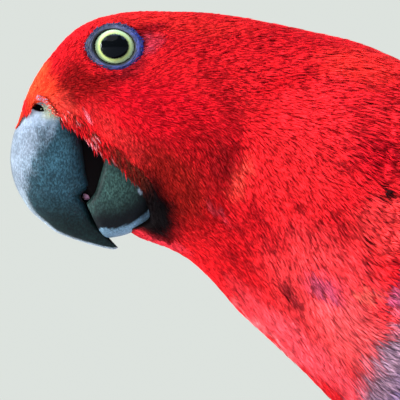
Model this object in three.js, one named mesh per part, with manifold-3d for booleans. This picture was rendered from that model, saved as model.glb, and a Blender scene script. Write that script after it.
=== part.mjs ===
// A life-size female eclectus parrot, standing still on a flat floor.
//
// Millimetres, +Z up. The bird faces -X and its left side faces -Y. The shapes are laid out
// from the centre of the eye, and the last lines move them so that the origin lies on the
// floor under the middle of the bird.
import * as THREE from 'three';
import { mergeGeometries, mergeVertices } from 'three/addons/utils/BufferGeometryUtils.js';
import { LoftGeometry } from 'three/addons/geometries/LoftGeometry.js';
import Module from 'manifold-3d';

const wasm = await Module();
wasm.setup();

// Driving dimensions
const GAP = 0.3;
const WELD = 0.001;
const SLIVER = 0.01;
const EYE_HEIGHT = 172;
const AROUND = 26;
const HEAD_CROWN_POWER = 2.9;
const BODY_CROWN_POWER = 2.15;
const KEEL_POWER = 1.95;
const HEAD_CROWN_END = { from: 15, to: 60 };

// Where the body is parted, counted in rungs: nape, base of the neck, front of the rump.
const NAPE = 6;
const NECK_BASE = 9.5;
const RUMP_FRONT = 15.7;
const TAIL_ROOT = 18;

// Each rung of the body: top x and z, bottom x and z, half width, and how far down it is widest.
const BODY_RUNGS = [
  [-24.6, -17.5, 3.5, -47.3, 11, 0.5],
  [-21.5, -10, 7, -49, 14, 0.5],
  [-17, -3, 10.5, -50.2, 16.8, 0.52],
  [-9.4, 4.8, 15, -52, 18.5, 0.52],
  [1, 8.5, 20, -55.2, 19.5, 0.52],
  [13, 9, 25, -60, 20, 0.52],
  [26, 8.4, 31, -67, 21.5, 0.5],
  [38, 6.4, 38, -73.6, 26, 0.5],
  [50, 3.9, 47, -82, 33, 0.48],
  [62, 1, 57, -92, 39, 0.46],
  [76, -5, 68.5, -102, 40.5, 0.45],
  [92, -12.5, 81, -111, 41, 0.45],
  [110, -22.5, 95, -118.5, 40.5, 0.45],
  [128, -34, 111, -125.5, 38.5, 0.45],
  [146, -45.5, 129, -130.3, 35, 0.45],
  [163, -56.5, 149, -131.3, 30, 0.45],
  [179, -66.5, 169, -126.5, 25, 0.46],
  [193, -76, 187, -117, 20.5, 0.48],
  [206, -87, 203, -107, 14, 0.5],
];

// The bed that the folded wing lies on leaves the body here and narrows towards the wing tip.
// Its length is measured in steps of a share of a rung.
const BED_STEP = 0.25;
const WING_FIRST_RUNG = 9;
const WING_BODY_RUNGS = 15;
const WING_END_RUNGS = [
  [163, -55.5, 149, -130.3, 30.8, 0.45],
  [179, -65, 168, -125, 28, 0.45],
  [194, -72, 183, -120, 24, 0.45],
  [214, -81, 203, -119, 19, 0.45],
  [243, -94.5, 230, -133, 15, 0.45],
  [267, -108, 253, -147, 12, 0.45],
  [291, -123, 277, -162, 10, 0.45],
];

// Cheek: the feathers of the face swell over the neck and end in a fold behind. The swelling
// fades over these shares of its size, softly in front and sharply behind.
const CHEEK = { x: 10, z: -25, long: 21, high: 27, swell: 3, lean: 0.4, turn: 0.5 };
const CHEEK_FADE = { soft: [0.3, 1.15], sharp: [0.8, 1.08] };

// Edge of the feathers round the bill, from the forehead to the chin.
const FEATHER_EDGE = [
  [-24, -19], [-19.5, -15.4], [-14, -18.2], [-9.6, -20.5], [-7.6, -23], [-3.3, -26.5],
  [0.8, -29.6], [5, -33.4], [7, -36], [8.9, -40.3], [9.4, -44.6], [3.8, -47.3],
];
const BILL_REACH = 60;
const BELOW_CHIN = { ahead: 3, down: 12 };

// Upper bill: ridge x and z, cutting edge x and z, half width.
const UPPER_BILL_RUNGS = [
  [-21.3, -13.7, -7.8, -16.7, 10],
  [-24.3, -19.9, -9.7, -20.2, 10.4],
  [-25.6, -21.8, -8.9, -22.1, 10.5],
  [-26.4, -25.7, -8.1, -25.7, 10.3],
  [-26.6, -28.9, -7.7, -29.2, 9.9],
  [-26.2, -32.2, -7.2, -32.2, 9.3],
  [-25.6, -34.4, -6.6, -34.6, 8.8],
  [-24.8, -36.4, -6.8, -35.9, 8.2],
  [-23.6, -38.6, -8.6, -37.9, 7.6],
  [-21.4, -41.8, -7.6, -39.9, 6.6],
  [-18.1, -44.7, -6.5, -41.8, 5.2],
  [-14.6, -47.3, -5.2, -44.4, 3.9],
  [-9.7, -49.2, -3.3, -46.7, 2.6],
  [-5.1, -50.6, -1.1, -49.1, 1.5],
  [-0.8, -51.5, 0.3, -50.6, 0.6],
];
const CERE = { width: 2, raised: 0.3, back: -11, top: -10, bottom: -40 };
const NOSTRIL = { x: -19.8, z: -17.5, side: 8.2, long: 1.7, high: 0.8, tilt: 0.5, depth: 2.2 };

// Lower bill: cutting edge x and z, bottom x and z, half width.
const LOWER_BILL_RUNGS = [
  [-0.8, -25.8, 10.9, -42, 10.5],
  [-2.6, -26.3, 9.4, -44.1, 10.3],
  [-3.5, -29.9, 6.3, -46.1, 9.9],
  [-4.3, -33.2, 3.2, -47.6, 9.3],
  [-5.1, -36.3, 0, -48.4, 8.6],
  [-6.3, -38.2, -2.4, -48.4, 7.8],
  [-7.3, -39.6, -4.3, -46.4, 6.6],
];
const SCOOP_WALL = 1.3;
const TONGUE = { x: -2.5, z: -33.5, long: 8.2, wide: 3.4, high: 2.6, slope: 1.08 };

const EYE = { radius: 6, side: 10.2 };
const ORBIT = { side: 14.4, from: 4, to: 9, stretch: 1.35, share: 0.8 };
const EYE_RING = { stretch: 1.18, inner: 4.35, ridge: 4.8, outer: 5.95, wall: 0.9 };
const EYE_RING_SIDE = { lip: 14.8, ridge: 15.3, edge: 14.2, foot: 12 };

// Leg: x, z and radius from the hip to the sole, at this distance from the middle.
const LEG_SIDE = 20;
const LEG_POINTS = [
  [108, -102, 15], [116, -117, 15.5], [123, -130, 12.5], [129, -142, 8],
  [129, -148, 5.2], [125, -157, 4.7], [121, -166, 5.2], [120, -170, 5.4],
];
const ANKLE = -143.5;
const INSTEP = -162.5;
const FOOT = { x: 120, lift: 3 };

// Toes: direction from straight ahead towards the outside, length, radius, claw length.
const TOES = [
  { name: 'inner_front', turn: -20, length: 25, radius: 3.3, claw: 9 },
  { name: 'outer_front', turn: 15, length: 35, radius: 3.5, claw: 11 },
  { name: 'outer_back', turn: 155, length: 32, radius: 3.4, claw: 10 },
  { name: 'inner_back', turn: 210, length: 17, radius: 3, claw: 8 },
];

// A toe swells at its joints: shares of its length, of its radius and of the foot's lift.
const TOE_SHAPE = [
  [0, 0.95, 1.25], [0.25, 0.99, 1.2], [0.45, 0.78, 1], [0.6, 0.94, 0.95],
  [0.8, 0.76, 0.85], [0.93, 0.88, 0.85], [1, 0.72, 0.85],
];
const CLAW = { steps: 5, hidden: 1, root: 0.58, taper: 0.8, point: 0.15, rise: 0.9, fall: 0.68, turn: 135 };

// Tail: the place and slope of its root, and the block that its feathers grow from.
const TAIL = { x: 204.9, z: -97.2, slope: 33, arch: 0.01, clear: 0.2 };
const TAIL_CORE = { long: 22, wide: 8.5, high: 3.6, drop: 2.4, edge: 0.15, thin: 0.3 };

// Each set of feathers at the tail is a middle vane and pairs beside it. Root and tip say how
// far along the tail and how high they lie, and side and rise the steps from pair to pair.
const TAIL_FEATHERS = {
  pairs: 5, half: 7, shorter: 0.8,
  root: { along: 1, up: 0, side: 1.3, rise: -0.8 },
  tip: { along: 115, up: 0, side: 3, rise: -0.8 },
};
const COVERT_SETS = [
  {
    pairs: 2, half: 5.5, shorter: 1,
    root: { along: -24, up: 10.4, side: 5.5, rise: -0.8 },
    tip: { along: 38, up: 2.6, side: 4.2, rise: -0.8 },
  },
  {
    pairs: 3, half: 5.5, shorter: 1,
    root: { along: -12, up: -21, side: 4, rise: 2.4 },
    tip: { along: 30, up: -12, side: 3.6, rise: 1.4 },
  },
  {
    pairs: 3, half: 5.5, shorter: 1,
    root: { along: -4, up: -13, side: 3.5, rise: 1.5 },
    tip: { along: 62, up: -7, side: 3.8, rise: 0.8 },
  },
];

// Vanes: short ones have these rows, as shares of their length, and long ones have stations.
const VANE_ROWS = [0, 0.5, 0.88, 1];
const VANE = { thick: 0.5, step: 0.8, station: 26, tip: 9 };
const VANE_WIDTH = { root: 0.4, full: 0.4, shoulder: 0.75, tip: 0.28 };

// Wing: feathers are counted from the lower edge of the folded wing up to the back.
const WING_CORE = { from: 6, to: 90, top: 9, bottom: 116, inner: 0.75, wall: 0.5, swell: 2.4, nose: 0.4 };
const FLIGHT_ROOT = 84;
const PRIMARIES = { count: 4, half: 5, longest: 225, shorter: 15 };
const PRIMARY_ANGLES = { rootBottom: 110, rootTop: 90, tipBottom: 98, tipTop: 68 };
const BESIDE_PRIMARIES = 4;
const SECONDARIES = { count: 8, half: 5.4, tipBottom: 174, tipTop: 146, bottom: 84, top: 15 };
const FLIGHT_HEIGHT = 2.1;

// Coverts, row by row from the back of the wing forwards.
const COVERT_ROWS = [
  { count: 8, half: 7, root: 52, tipBottom: 116, tipTop: 100, bottom: 105, top: 18, from: 2, to: 4.5 },
  { count: 7, half: 7.6, root: 30, tipBottom: 88, tipTop: 74, bottom: 99, top: 24, from: 1.6, to: 5.5 },
  { count: 7, half: 7.6, root: 14, tipBottom: 60, tipTop: 48, bottom: 104, top: 19, from: 1.2, to: 6 },
];

const RED = paint(0xb81f22, 0.8);
const DEEP_RED = paint(0x7d1518, 0.8);
const BREAST_RED = paint(0xd9322f, 0.8);
const VIOLET = paint(0x3b3a8c, 0.8);
const WING_RED = paint(0x8c1a1c, 0.75);
const TAIL_RED = paint(0xa4231d, 0.75);
const BILL_BLACK = paint(0x1b2326, 0.35);
const CERE_CREAM = paint(0xc9c2a8, 0.6);
const TONGUE_PINK = paint(0x8a5a62, 0.5);
const EYE_YELLOW = paint(0xb9c389, 0.15);
const RING_BLUE = paint(0x4c5496, 0.7);
const LEG_GREY = paint(0x3c3a3c, 0.6);
const CLAW_BLACK = paint(0x17181a, 0.4);

function paint(color, roughness) {
  return new THREE.MeshStandardMaterial({ color, roughness, metalness: 0 });
}

const radians = THREE.MathUtils.degToRad;
const lerp = THREE.MathUtils.lerp;
const smoothstep = THREE.MathUtils.smoothstep;

// A closed solid from any geometry without gaps, turned so that its faces point out.
function solidOf(geometry) {
  const bare = new THREE.BufferGeometry();
  bare.setAttribute('position', geometry.attributes.position);
  bare.setIndex(geometry.index);
  const merged = mergeVertices(bare, WELD);
  const points = merged.attributes.position.array;
  const corners = [];
  let volume = 0;
  const [a, b, c] = [new THREE.Vector3(), new THREE.Vector3(), new THREE.Vector3()];
  for (let i = 0; i < merged.index.count; i += 3) {
    const [p, q, r] = [0, 1, 2].map((k) => merged.index.getX(i + k));
    if (p === q || q === r || r === p) continue;
    corners.push([p, q, r]);
    a.fromArray(points, 3 * p);
    b.fromArray(points, 3 * q);
    c.fromArray(points, 3 * r);
    volume += a.dot(b.cross(c));
  }
  const triangles = volume < 0 ? corners.map(([p, q, r]) => [p, r, q]) : corners;
  const triVerts = new Uint32Array(triangles.flat());
  return new wasm.Manifold(new wasm.Mesh({ numProp: 3, vertProperties: points, triVerts }));
}

function geometryOf(solid) {
  const mesh = solid.getMesh();
  const geometry = new THREE.BufferGeometry();
  geometry.setAttribute('position', new THREE.BufferAttribute(mesh.vertProperties, 3));
  geometry.setIndex(new THREE.BufferAttribute(mesh.triVerts, 1));
  return geometry;
}

// A closed loft through rings of points, with each end closed by a fan from its middle.
function loft(rings) {
  const middle = (ring) => {
    const centre = ring.reduce((sum, point) => sum.add(point), new THREE.Vector3()).divideScalar(ring.length);
    return ring.map(() => centre);
  };
  return solidOf(new LoftGeometry([middle(rings[0]), ...rings, middle(rings[rings.length - 1])]));
}

// The largest closed surface, without the slivers and scraps that a cut leaves.
function largestOf(solid) {
  const pieces = solid.simplify(SLIVER).decompose();
  return pieces.reduce((best, piece) => (piece.volume() > best.volume() ? piece : best));
}

function joined(solids) {
  return largestOf(wasm.Manifold.union(solids));
}

// Rails carry the rungs as two curves: the top with the half width, the bottom with the level.
function railsOf(rungs) {
  const top = rungs.map(([x, z, , , half]) => new THREE.Vector3(x, half, z));
  const bottom = rungs.map(([, , x, z, , level]) => new THREE.Vector3(x, level, z));
  const curve = (points) => new THREE.CatmullRomCurve3(points, false, 'catmullrom');
  return { top: curve(top), bottom: curve(bottom), last: rungs.length - 1 };
}

function rungAt(rails, at) {
  const top = rails.top.getPoint(at / rails.last);
  const bottom = rails.bottom.getPoint(at / rails.last);
  const half = top.y;
  const level = bottom.y;
  top.y = 0;
  bottom.y = 0;
  const centre = top.clone().lerp(bottom, level);
  const up = top.clone().sub(bottom);
  const length = up.length();
  return { centre, up: up.divideScalar(length), half, above: level * length, below: (1 - level) * length };
}

function cheekSwell(x, z) {
  const reach = Math.hypot((x - CHEEK.x) / CHEEK.long, (z - CHEEK.z) / CHEEK.high);
  const back = (x - CHEEK.x) / CHEEK.long - (CHEEK.lean * (z - CHEEK.z)) / CHEEK.high;
  const soft = 1 - smoothstep(reach, ...CHEEK_FADE.soft);
  const sharp = 1 - smoothstep(reach, ...CHEEK_FADE.sharp);
  return CHEEK.swell * lerp(soft, sharp, smoothstep(back, -CHEEK.turn, CHEEK.turn));
}

// The side of the head is flatter round the eye.
function flattened(x, z, side) {
  const near = 1 - smoothstep(Math.hypot(x / ORBIT.stretch, z), ORBIT.from, ORBIT.to);
  return lerp(side, ORBIT.side, ORBIT.share * near);
}

// A point of the skin: the angle runs from the top, 0, down the left side to the bottom, 180.
function skinPoint(rails, at, angle, height = 0) {
  const rung = rungAt(rails, at);
  const down = Math.cos(radians(angle));
  const side = Math.sin(radians(angle));
  const back = smoothstep(rung.centre.x, HEAD_CROWN_END.from, HEAD_CROWN_END.to);
  const crown = lerp(HEAD_CROWN_POWER, BODY_CROWN_POWER, back);
  const power = 2 / (down > 0 ? crown : KEEL_POWER);
  const reach = (down > 0 ? rung.above : rung.below) + height;
  const rise = Math.sign(down) * Math.abs(down) ** power * reach;
  const share = Math.abs(side) ** power;
  const point = rung.centre.clone().addScaledVector(rung.up, rise);
  const swell = cheekSwell(point.x, point.z) * share ** 2;
  const out = flattened(point.x, point.z, share * (rung.half + height) + swell);
  point.y = Math.abs(side) < WELD ? 0 : -Math.sign(side) * out;
  return point;
}

const bodyRails = railsOf(BODY_RUNGS);

function bodyLoft(height) {
  const sections = [];
  for (let at = 0; at <= bodyRails.last; at += 0.5) {
    const ring = [];
    for (let i = 0; i < AROUND; i += 1) {
      ring.push(skinPoint(bodyRails, at, (360 * i) / AROUND, height));
    }
    sections.push(ring);
  }
  return loft(sections);
}

// Cuts off all that lies in front of, or behind, the plane of a rung.
function rungPlane(at) {
  const rung = rungAt(bodyRails, at);
  const back = new THREE.Vector3(-rung.up.z, 0, rung.up.x);
  if (back.x < 0) back.negate();
  return { normal: back, offset: back.dot(rung.centre) };
}

function behind(solid, at, gap = GAP / 2) {
  const { normal, offset } = rungPlane(at);
  return solid.trimByPlane(normal.toArray(), offset + gap);
}

function ahead(solid, at, gap = GAP / 2) {
  const { normal, offset } = rungPlane(at);
  return solid.trimByPlane(normal.clone().negate().toArray(), -offset + gap);
}

// An outline in x and z, extruded across the whole width.
function across(points) {
  const shape = new THREE.Shape(points.map(([x, z]) => new THREE.Vector2(x, z)));
  const geometry = new THREE.ExtrudeGeometry(shape, { depth: 2 * BILL_REACH, bevelEnabled: false });
  return solidOf(geometry.rotateX(Math.PI / 2).translate(0, BILL_REACH, 0));
}

// The edge of the feathers, moved forwards by a distance, and all that lies before it.
function beforeFeathers(distance) {
  const moved = FEATHER_EDGE.map((point, i) => {
    const last = FEATHER_EDGE[Math.max(i - 1, 0)];
    const next = FEATHER_EDGE[Math.min(i + 1, FEATHER_EDGE.length - 1)];
    const run = new THREE.Vector2(next[0] - last[0], next[1] - last[1]).normalize();
    return [point[0] + run.y * distance, point[1] - run.x * distance];
  });
  const [endX, endZ] = moved[moved.length - 1];
  const floor = endZ - BELOW_CHIN.down;
  const corners = [[endX - BELOW_CHIN.ahead, floor], [-BILL_REACH, floor], [-BILL_REACH, moved[0][1]]];
  return across([...moved, ...corners]);
}

// A loft through rungs of the bill: superelliptic, widest at a level, with its own powers.
function billLoft(rungs, { level, upper, lower, grow = 0, around = 18, steps = 1 }) {
  const rails = railsOf(rungs.map((rung) => [...rung, level]));
  const sections = [];
  for (let i = 0; i <= rails.last * steps; i += 1) {
    const rung = rungAt(rails, i / steps);
    const ring = [];
    for (let j = 0; j < around; j += 1) {
      const turn = (2 * Math.PI * j) / around;
      const power = 2 / (Math.cos(turn) > 0 ? upper : lower);
      const reach = (Math.cos(turn) > 0 ? rung.above : rung.below) + grow;
      const rise = Math.sign(Math.cos(turn)) * Math.abs(Math.cos(turn)) ** power * reach;
      const side = Math.sign(Math.sin(turn)) * Math.abs(Math.sin(turn)) ** power * (rung.half + grow);
      const point = rung.centre.clone().addScaledVector(rung.up, rise);
      ring.push(point.setY(-side));
    }
    sections.push(ring);
  }
  return loft(sections);
}

function upperBillLoft(grow) {
  return billLoft(UPPER_BILL_RUNGS, { level: 0.72, upper: 1.9, lower: 3.2, grow });
}

function lowerBillLoft(grow) {
  return billLoft(LOWER_BILL_RUNGS, { level: 0.25, upper: 4, lower: 2.8, grow, around: 16 });
}

// The inside of the lower bill: the same rungs, moved up and narrowed by the wall.
function scoopLoft() {
  const rungs = LOWER_BILL_RUNGS.map(([x, z, bottomX, bottomZ, half]) => {
    const up = new THREE.Vector2(x - bottomX, z - bottomZ).normalize();
    const lift = 2 * SCOOP_WALL;
    const [dx, dz] = [up.x * lift, up.y * lift];
    return [x + dx, z + dz, bottomX + dx, bottomZ + dz, half - SCOOP_WALL];
  });
  return billLoft(rungs, { level: 0.25, upper: 4, lower: 2.6, around: 16 });
}

// A round tube with rings of its own radius square to its path, and flat ends.
function tube(points, radii, sides = 10) {
  const sections = points.map((point, i) => {
    const last = points[Math.max(i - 1, 0)];
    const next = points[Math.min(i + 1, points.length - 1)];
    const run = next.clone().sub(last).normalize();
    const side = new THREE.Vector3(0, 1, 0).cross(run);
    if (side.length() < 0.5) side.set(1, 0, 0).cross(run);
    side.normalize();
    const up = run.clone().cross(side);
    return Array.from({ length: sides }, (_, j) => {
      const turn = (2 * Math.PI * (j + 0.5)) / sides;
      const reach = side.clone().multiplyScalar(Math.cos(turn)).addScaledVector(up, Math.sin(turn));
      return point.clone().addScaledVector(reach, radii[i]);
    });
  });
  return loft(sections);
}

// A thin closed plate: place(u, v, side) gives its points, with side 1 above and -1 below.
function plate(columns, rows, place) {
  const face = (side) => {
    const geometry = new THREE.PlaneGeometry(1, 1, columns, rows);
    const position = geometry.attributes.position;
    for (let i = 0; i < position.count; i += 1) {
      const point = place(position.getX(i) + 0.5, 0.5 - position.getY(i), side);
      position.setXYZ(i, point.x, point.y, point.z);
    }
    if (side < 0) geometry.index.array.reverse();
    geometry.deleteAttribute('normal');
    geometry.deleteAttribute('uv');
    return geometry;
  };
  const rim = [];
  for (let i = 0; i < columns; i += 1) rim.push([i / columns, 0]);
  for (let i = 0; i < rows; i += 1) rim.push([1, i / rows]);
  for (let i = columns; i > 0; i -= 1) rim.push([i / columns, 1]);
  for (let i = rows; i > 0; i -= 1) rim.push([0, i / rows]);
  const edge = new LoftGeometry([1, -1].map((side) => rim.map(([u, v]) => place(u, v, side))));
  edge.deleteAttribute('normal');
  edge.deleteAttribute('uv');
  return solidOf(mergeGeometries([face(1), face(-1), edge]));
}

// Head
function makeHead(body) {
  const face = ahead(body, NAPE).subtract(beforeFeathers(0));
  const sockets = [-1, 1].map((side) => eyeSocket(side));
  return largestOf(face.subtract(wasm.Manifold.union(sockets)));
}

function eyeBall(side, grow = 0) {
  return solidOf(new THREE.SphereGeometry(EYE.radius + grow, 16, 10).translate(0, side * EYE.side, 0));
}

function turnedRing(profile, side) {
  const points = profile.map(([radius, height]) => new THREE.Vector2(radius, height));
  const geometry = new THREE.LatheGeometry(points, 20);
  if (side < 0) geometry.rotateX(Math.PI);
  return solidOf(geometry.scale(EYE_RING.stretch, 1, 1));
}

function eyeRing(side) {
  const { inner, ridge, outer } = EYE_RING;
  const { lip, ridge: top, edge, foot } = EYE_RING_SIDE;
  const wall = inner + EYE_RING.wall;
  const profile = [[inner, lip], [ridge, top], [outer, edge], [outer, foot], [wall, foot], [inner, lip]];
  return turnedRing(profile, side).subtract(eyeBall(side, GAP));
}

function eyeSocket(side) {
  const reach = EYE_RING.outer + GAP;
  const floor = EYE.side - EYE.radius - GAP;
  const mouth = EYE.side + 2 * EYE.radius;
  return turnedRing([[0, floor], [reach, floor], [reach, mouth], [0, mouth]], side);
}

// Bill
function nostrilPit(side) {
  const { x, z, long, high, tilt, depth } = NOSTRIL;
  const geometry = new THREE.SphereGeometry(1, 10, 6).scale(long, depth, high).rotateY(-tilt);
  return solidOf(geometry.translate(x, side * NOSTRIL.side, z));
}

// The strip of cere in front of the feathers, as wide as the cere and a margin.
function cereRegion(margin) {
  const { width, back, top, bottom } = CERE;
  const end = back + margin;
  const strip = beforeFeathers(GAP).subtract(beforeFeathers(GAP + width + margin));
  return strip.intersect(across([[-BILL_REACH, top], [end, top], [end, bottom], [-BILL_REACH, bottom]]));
}

function makeBill() {
  const pits = wasm.Manifold.union([nostrilPit(-1), nostrilPit(1)]);
  const cere = upperBillLoft(CERE.raised).intersect(cereRegion(0)).subtract(pits);
  const upper = upperBillLoft(0).intersect(beforeFeathers(GAP)).subtract(cereRegion(GAP)).subtract(pits);
  const lower = lowerBillLoft(0).intersect(beforeFeathers(GAP)).subtract(scoopLoft());
  return {
    cere: largestOf(cere),
    upper: largestOf(upper),
    lower: largestOf(lower.subtract(upperBillLoft(GAP))),
  };
}

function makeTongue(lowerBill) {
  const { x, z, long, wide, high, slope } = TONGUE;
  const geometry = new THREE.SphereGeometry(1, 10, 6).scale(long, wide, high).rotateY(slope);
  const whole = solidOf(geometry.translate(x, 0, z)).intersect(beforeFeathers(GAP));
  return largestOf(whole.subtract(lowerBill).subtract(upperBillLoft(GAP)));
}

// Legs
function legTube() {
  const points = LEG_POINTS.map(([x, z]) => new THREE.Vector3(x, -LEG_SIDE, z));
  const curve = new THREE.CatmullRomCurve3(points);
  const steps = 2 * (LEG_POINTS.length - 1);
  const places = Array.from({ length: steps + 1 }, (_, i) => i / 2);
  const radii = places.map((place) => {
    const i = Math.min(Math.floor(place), LEG_POINTS.length - 2);
    return lerp(LEG_POINTS[i][2], LEG_POINTS[i + 1][2], place - i);
  });
  return tube(places.map((place) => curve.getPoint((2 * place) / steps)), radii, 10);
}

function above(solid, z) {
  return solid.trimByPlane([0, 0, 1], z + GAP / 2);
}

function below(solid, z) {
  return solid.trimByPlane([0, 0, -1], -z + GAP / 2);
}

function toeRun(toe) {
  const turn = radians(toe.turn);
  return new THREE.Vector3(-Math.cos(turn), -Math.sin(turn), 0);
}

function toePoint(toe, distance, lift) {
  const point = toeRun(toe).multiplyScalar(distance);
  return point.add(new THREE.Vector3(FOOT.x, -LEG_SIDE, lift - EYE_HEIGHT));
}

function toeSolid(toe) {
  const points = TOE_SHAPE.map(([share, , lift]) => toePoint(toe, share * toe.length, lift * FOOT.lift));
  return tube(points, TOE_SHAPE.map(([, swell]) => swell * toe.radius), 8);
}

function makeFoot(leg) {
  const whole = joined([below(leg, INSTEP), ...TOES.map(toeSolid)]);
  return largestOf(whole.trimByPlane([0, 0, 1], -EYE_HEIGHT));
}

// A claw rises from the end of its toe and curves down to its point, just above the floor.
function makeClaw(toe) {
  const lift = TOE_SHAPE[TOE_SHAPE.length - 1][2] * FOOT.lift;
  const points = [];
  const radii = [];
  for (let i = 0; i <= CLAW.steps; i += 1) {
    const share = i / CLAW.steps;
    const bend = CLAW.rise * Math.sin(radians(CLAW.turn * share)) - CLAW.fall * share;
    points.push(toePoint(toe, toe.length + lerp(-CLAW.hidden, toe.claw, share), lift * (1 + bend)));
    radii.push(CLAW.root * toe.radius * (1 - share) ** CLAW.taper + CLAW.point);
  }
  const start = toePoint(toe, toe.length + GAP, 0);
  return largestOf(tube(points, radii, 6).trimByPlane(toeRun(toe).toArray(), toeRun(toe).dot(start)));
}

// Wing bed: distance s along the middle of the wing, angle round the body, height above it.
const bedRails = railsOf([...BODY_RUNGS.slice(WING_FIRST_RUNG, WING_BODY_RUNGS), ...WING_END_RUNGS]);
const bedLengths = measureBed();

function measureBed() {
  const lengths = [0];
  for (let at = BED_STEP; at <= bedRails.last; at += BED_STEP) {
    const step = rungAt(bedRails, at).centre.distanceTo(rungAt(bedRails, at - BED_STEP).centre);
    lengths.push(lengths[lengths.length - 1] + step);
  }
  return lengths;
}

function bedPoint(s, angle, height) {
  const next = Math.max(bedLengths.findIndex((length) => length > s), 1);
  const share = (s - bedLengths[next - 1]) / (bedLengths[next] - bedLengths[next - 1]);
  return skinPoint(bedRails, (next - 1 + share) * BED_STEP, angle, height);
}

function mmPerDegree(s, angle) {
  return bedPoint(s, angle - 1, 0).distanceTo(bedPoint(s, angle + 1, 0)) / 2;
}

function flightFeather(index) {
  if (index < PRIMARIES.count) {
    const share = index / (PRIMARIES.count - 1);
    const tip = PRIMARIES.longest - PRIMARIES.shorter * Math.abs(index - 1);
    return { tip, half: PRIMARIES.half, share };
  }
  const share = (index - PRIMARIES.count) / (SECONDARIES.count - 1);
  const tip = lerp(SECONDARIES.tipBottom, SECONDARIES.tipTop, share);
  return { tip, half: SECONDARIES.half, share };
}

// Angle of the middle of a flight feather, at a distance along the wing.
function flightAngle(index, s) {
  const { rootBottom, rootTop, tipBottom, tipTop } = PRIMARY_ANGLES;
  const out = (s - FLIGHT_ROOT) / (PRIMARIES.longest - FLIGHT_ROOT);
  const { share } = flightFeather(index);
  if (index < PRIMARIES.count) {
    return lerp(lerp(rootBottom, rootTop, share), lerp(tipBottom, tipTop, share), out);
  }
  const bottom = Math.min(SECONDARIES.bottom, lerp(rootTop, tipTop, out) - BESIDE_PRIMARIES);
  return lerp(bottom, SECONDARIES.top, share);
}

// Each feather lies one step above the one below it, wherever the two overlap: the height
// follows from how far the place is from the feather's own, counted in feathers.
function stackedHeight(index, angle, first, last, count) {
  const place = ((angle - first) / (last - first)) * (count - 1);
  return VANE.step * (index - place);
}

// How wide a vane is at a share of its length: narrow at the root, rounded off at the tip.
function vaneWidth(share) {
  const { root, full, shoulder, tip } = VANE_WIDTH;
  const past = Math.max(share - shoulder, 0) / (1 - shoulder);
  return lerp(root, 1, smoothstep(share, 0, full)) * (1 - (1 - tip) * past ** 2);
}

function wingVane({ index, root, tip, half, angleAt, count, heightAt, rows }) {
  return plate(2, rows.length - 1, (u, v, side) => {
    const s = rows[Math.round(v * (rows.length - 1))];
    const middle = angleAt(index, s);
    const reach = (2 * u - 1) * half * vaneWidth((s - root) / (tip - root));
    const angle = middle + reach / mmPerDegree(s, middle);
    const stacked = stackedHeight(index, angle, angleAt(0, s), angleAt(count - 1, s), count);
    return bedPoint(s, angle, heightAt(s) + stacked + (side * VANE.thick) / 2);
  });
}

// All flight feathers bend at the same stations, so that they never cross.
function flightRows(tip) {
  const rows = [];
  for (let s = FLIGHT_ROOT; s < tip - VANE.tip - VANE.station / 4; s += VANE.station) rows.push(s);
  return [...rows, tip - VANE.tip, tip];
}

function flightVanes() {
  const count = PRIMARIES.count + SECONDARIES.count;
  return Array.from({ length: count }, (_, index) => {
    const { tip, half } = flightFeather(index);
    const rows = flightRows(tip);
    const heightAt = () => FLIGHT_HEIGHT;
    const shared = { angleAt: flightAngle, count, heightAt, rows };
    return wingVane({ index, root: FLIGHT_ROOT, tip, half, ...shared });
  });
}

function covertVanes(row) {
  const angleAt = (index) => lerp(row.bottom, row.top, index / (row.count - 1));
  return Array.from({ length: row.count }, (_, index) => {
    const tip = lerp(row.tipBottom, row.tipTop, index / (row.count - 1));
    const { root, half, count } = row;
    const heightAt = (s) => lerp(row.from, row.to, (s - root) / (row.tipTop - root));
    const rows = VANE_ROWS.map((share) => lerp(root, tip, share));
    return wingVane({ index, root, tip, half, angleAt, count, heightAt, rows });
  });
}

function wingCore() {
  const { from, to, top, bottom, inner, wall, swell, nose } = WING_CORE;
  return plate(8, 6, (u, v, side) => {
    const round = (1 - (2 * u - 1) ** 8) * (1 - (1 - Math.min(v / nose, 1)) ** 3);
    const outer = inner + wall + swell * round;
    return bedPoint(lerp(from, to, v), lerp(top, bottom, u), side > 0 ? outer : inner);
  });
}

function makeWing() {
  const vanes = [...flightVanes(), ...COVERT_ROWS.flatMap(covertVanes)];
  return largestOf(joined([wingCore(), ...vanes]).subtract(bodyLoft(GAP)));
}

// Tail frame: distance along the tail from its root, side, and height above its plane.
function tailPoint(along, side, up) {
  const slope = radians(TAIL.slope);
  const x = TAIL.x + along * Math.cos(slope) + up * Math.sin(slope);
  const z = TAIL.z - along * Math.sin(slope) + up * Math.cos(slope);
  return new THREE.Vector3(x, side, z);
}

// A vane in the tail frame, from its root to its tip. One beside the middle keeps off it.
function tailVane(root, tip, half) {
  return plate(2, VANE_ROWS.length - 1, (u, v, side) => {
    const share = VANE_ROWS[Math.round(v * (VANE_ROWS.length - 1))];
    const middle = lerp(root.side, tip.side, share);
    let lateral = middle + (2 * u - 1) * vaneWidth(share) * half;
    if (middle < 0) lateral = Math.min(lateral, -TAIL.clear);
    if (middle > 0) lateral = Math.max(lateral, TAIL.clear);
    const up = lerp(root.up, tip.up, share) - TAIL.arch * lateral ** 2 + (side * VANE.thick) / 2;
    return tailPoint(lerp(root.along, tip.along, share), lateral, up);
  });
}

function tailVanes({ pairs, half, shorter, root, tip }) {
  const vanes = [];
  for (let pair = 0; pair <= pairs; pair += 1) {
    for (const hand of pair ? [-1, 1] : [1]) {
      const end = ({ along, up, side, rise }) => ({ along, side: hand * side * pair, up: up + rise * pair });
      const vaneTip = end(tip);
      vaneTip.along -= shorter * pair ** 2;
      vanes.push(tailVane(end(root), vaneTip, half));
    }
  }
  return vanes;
}

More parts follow.
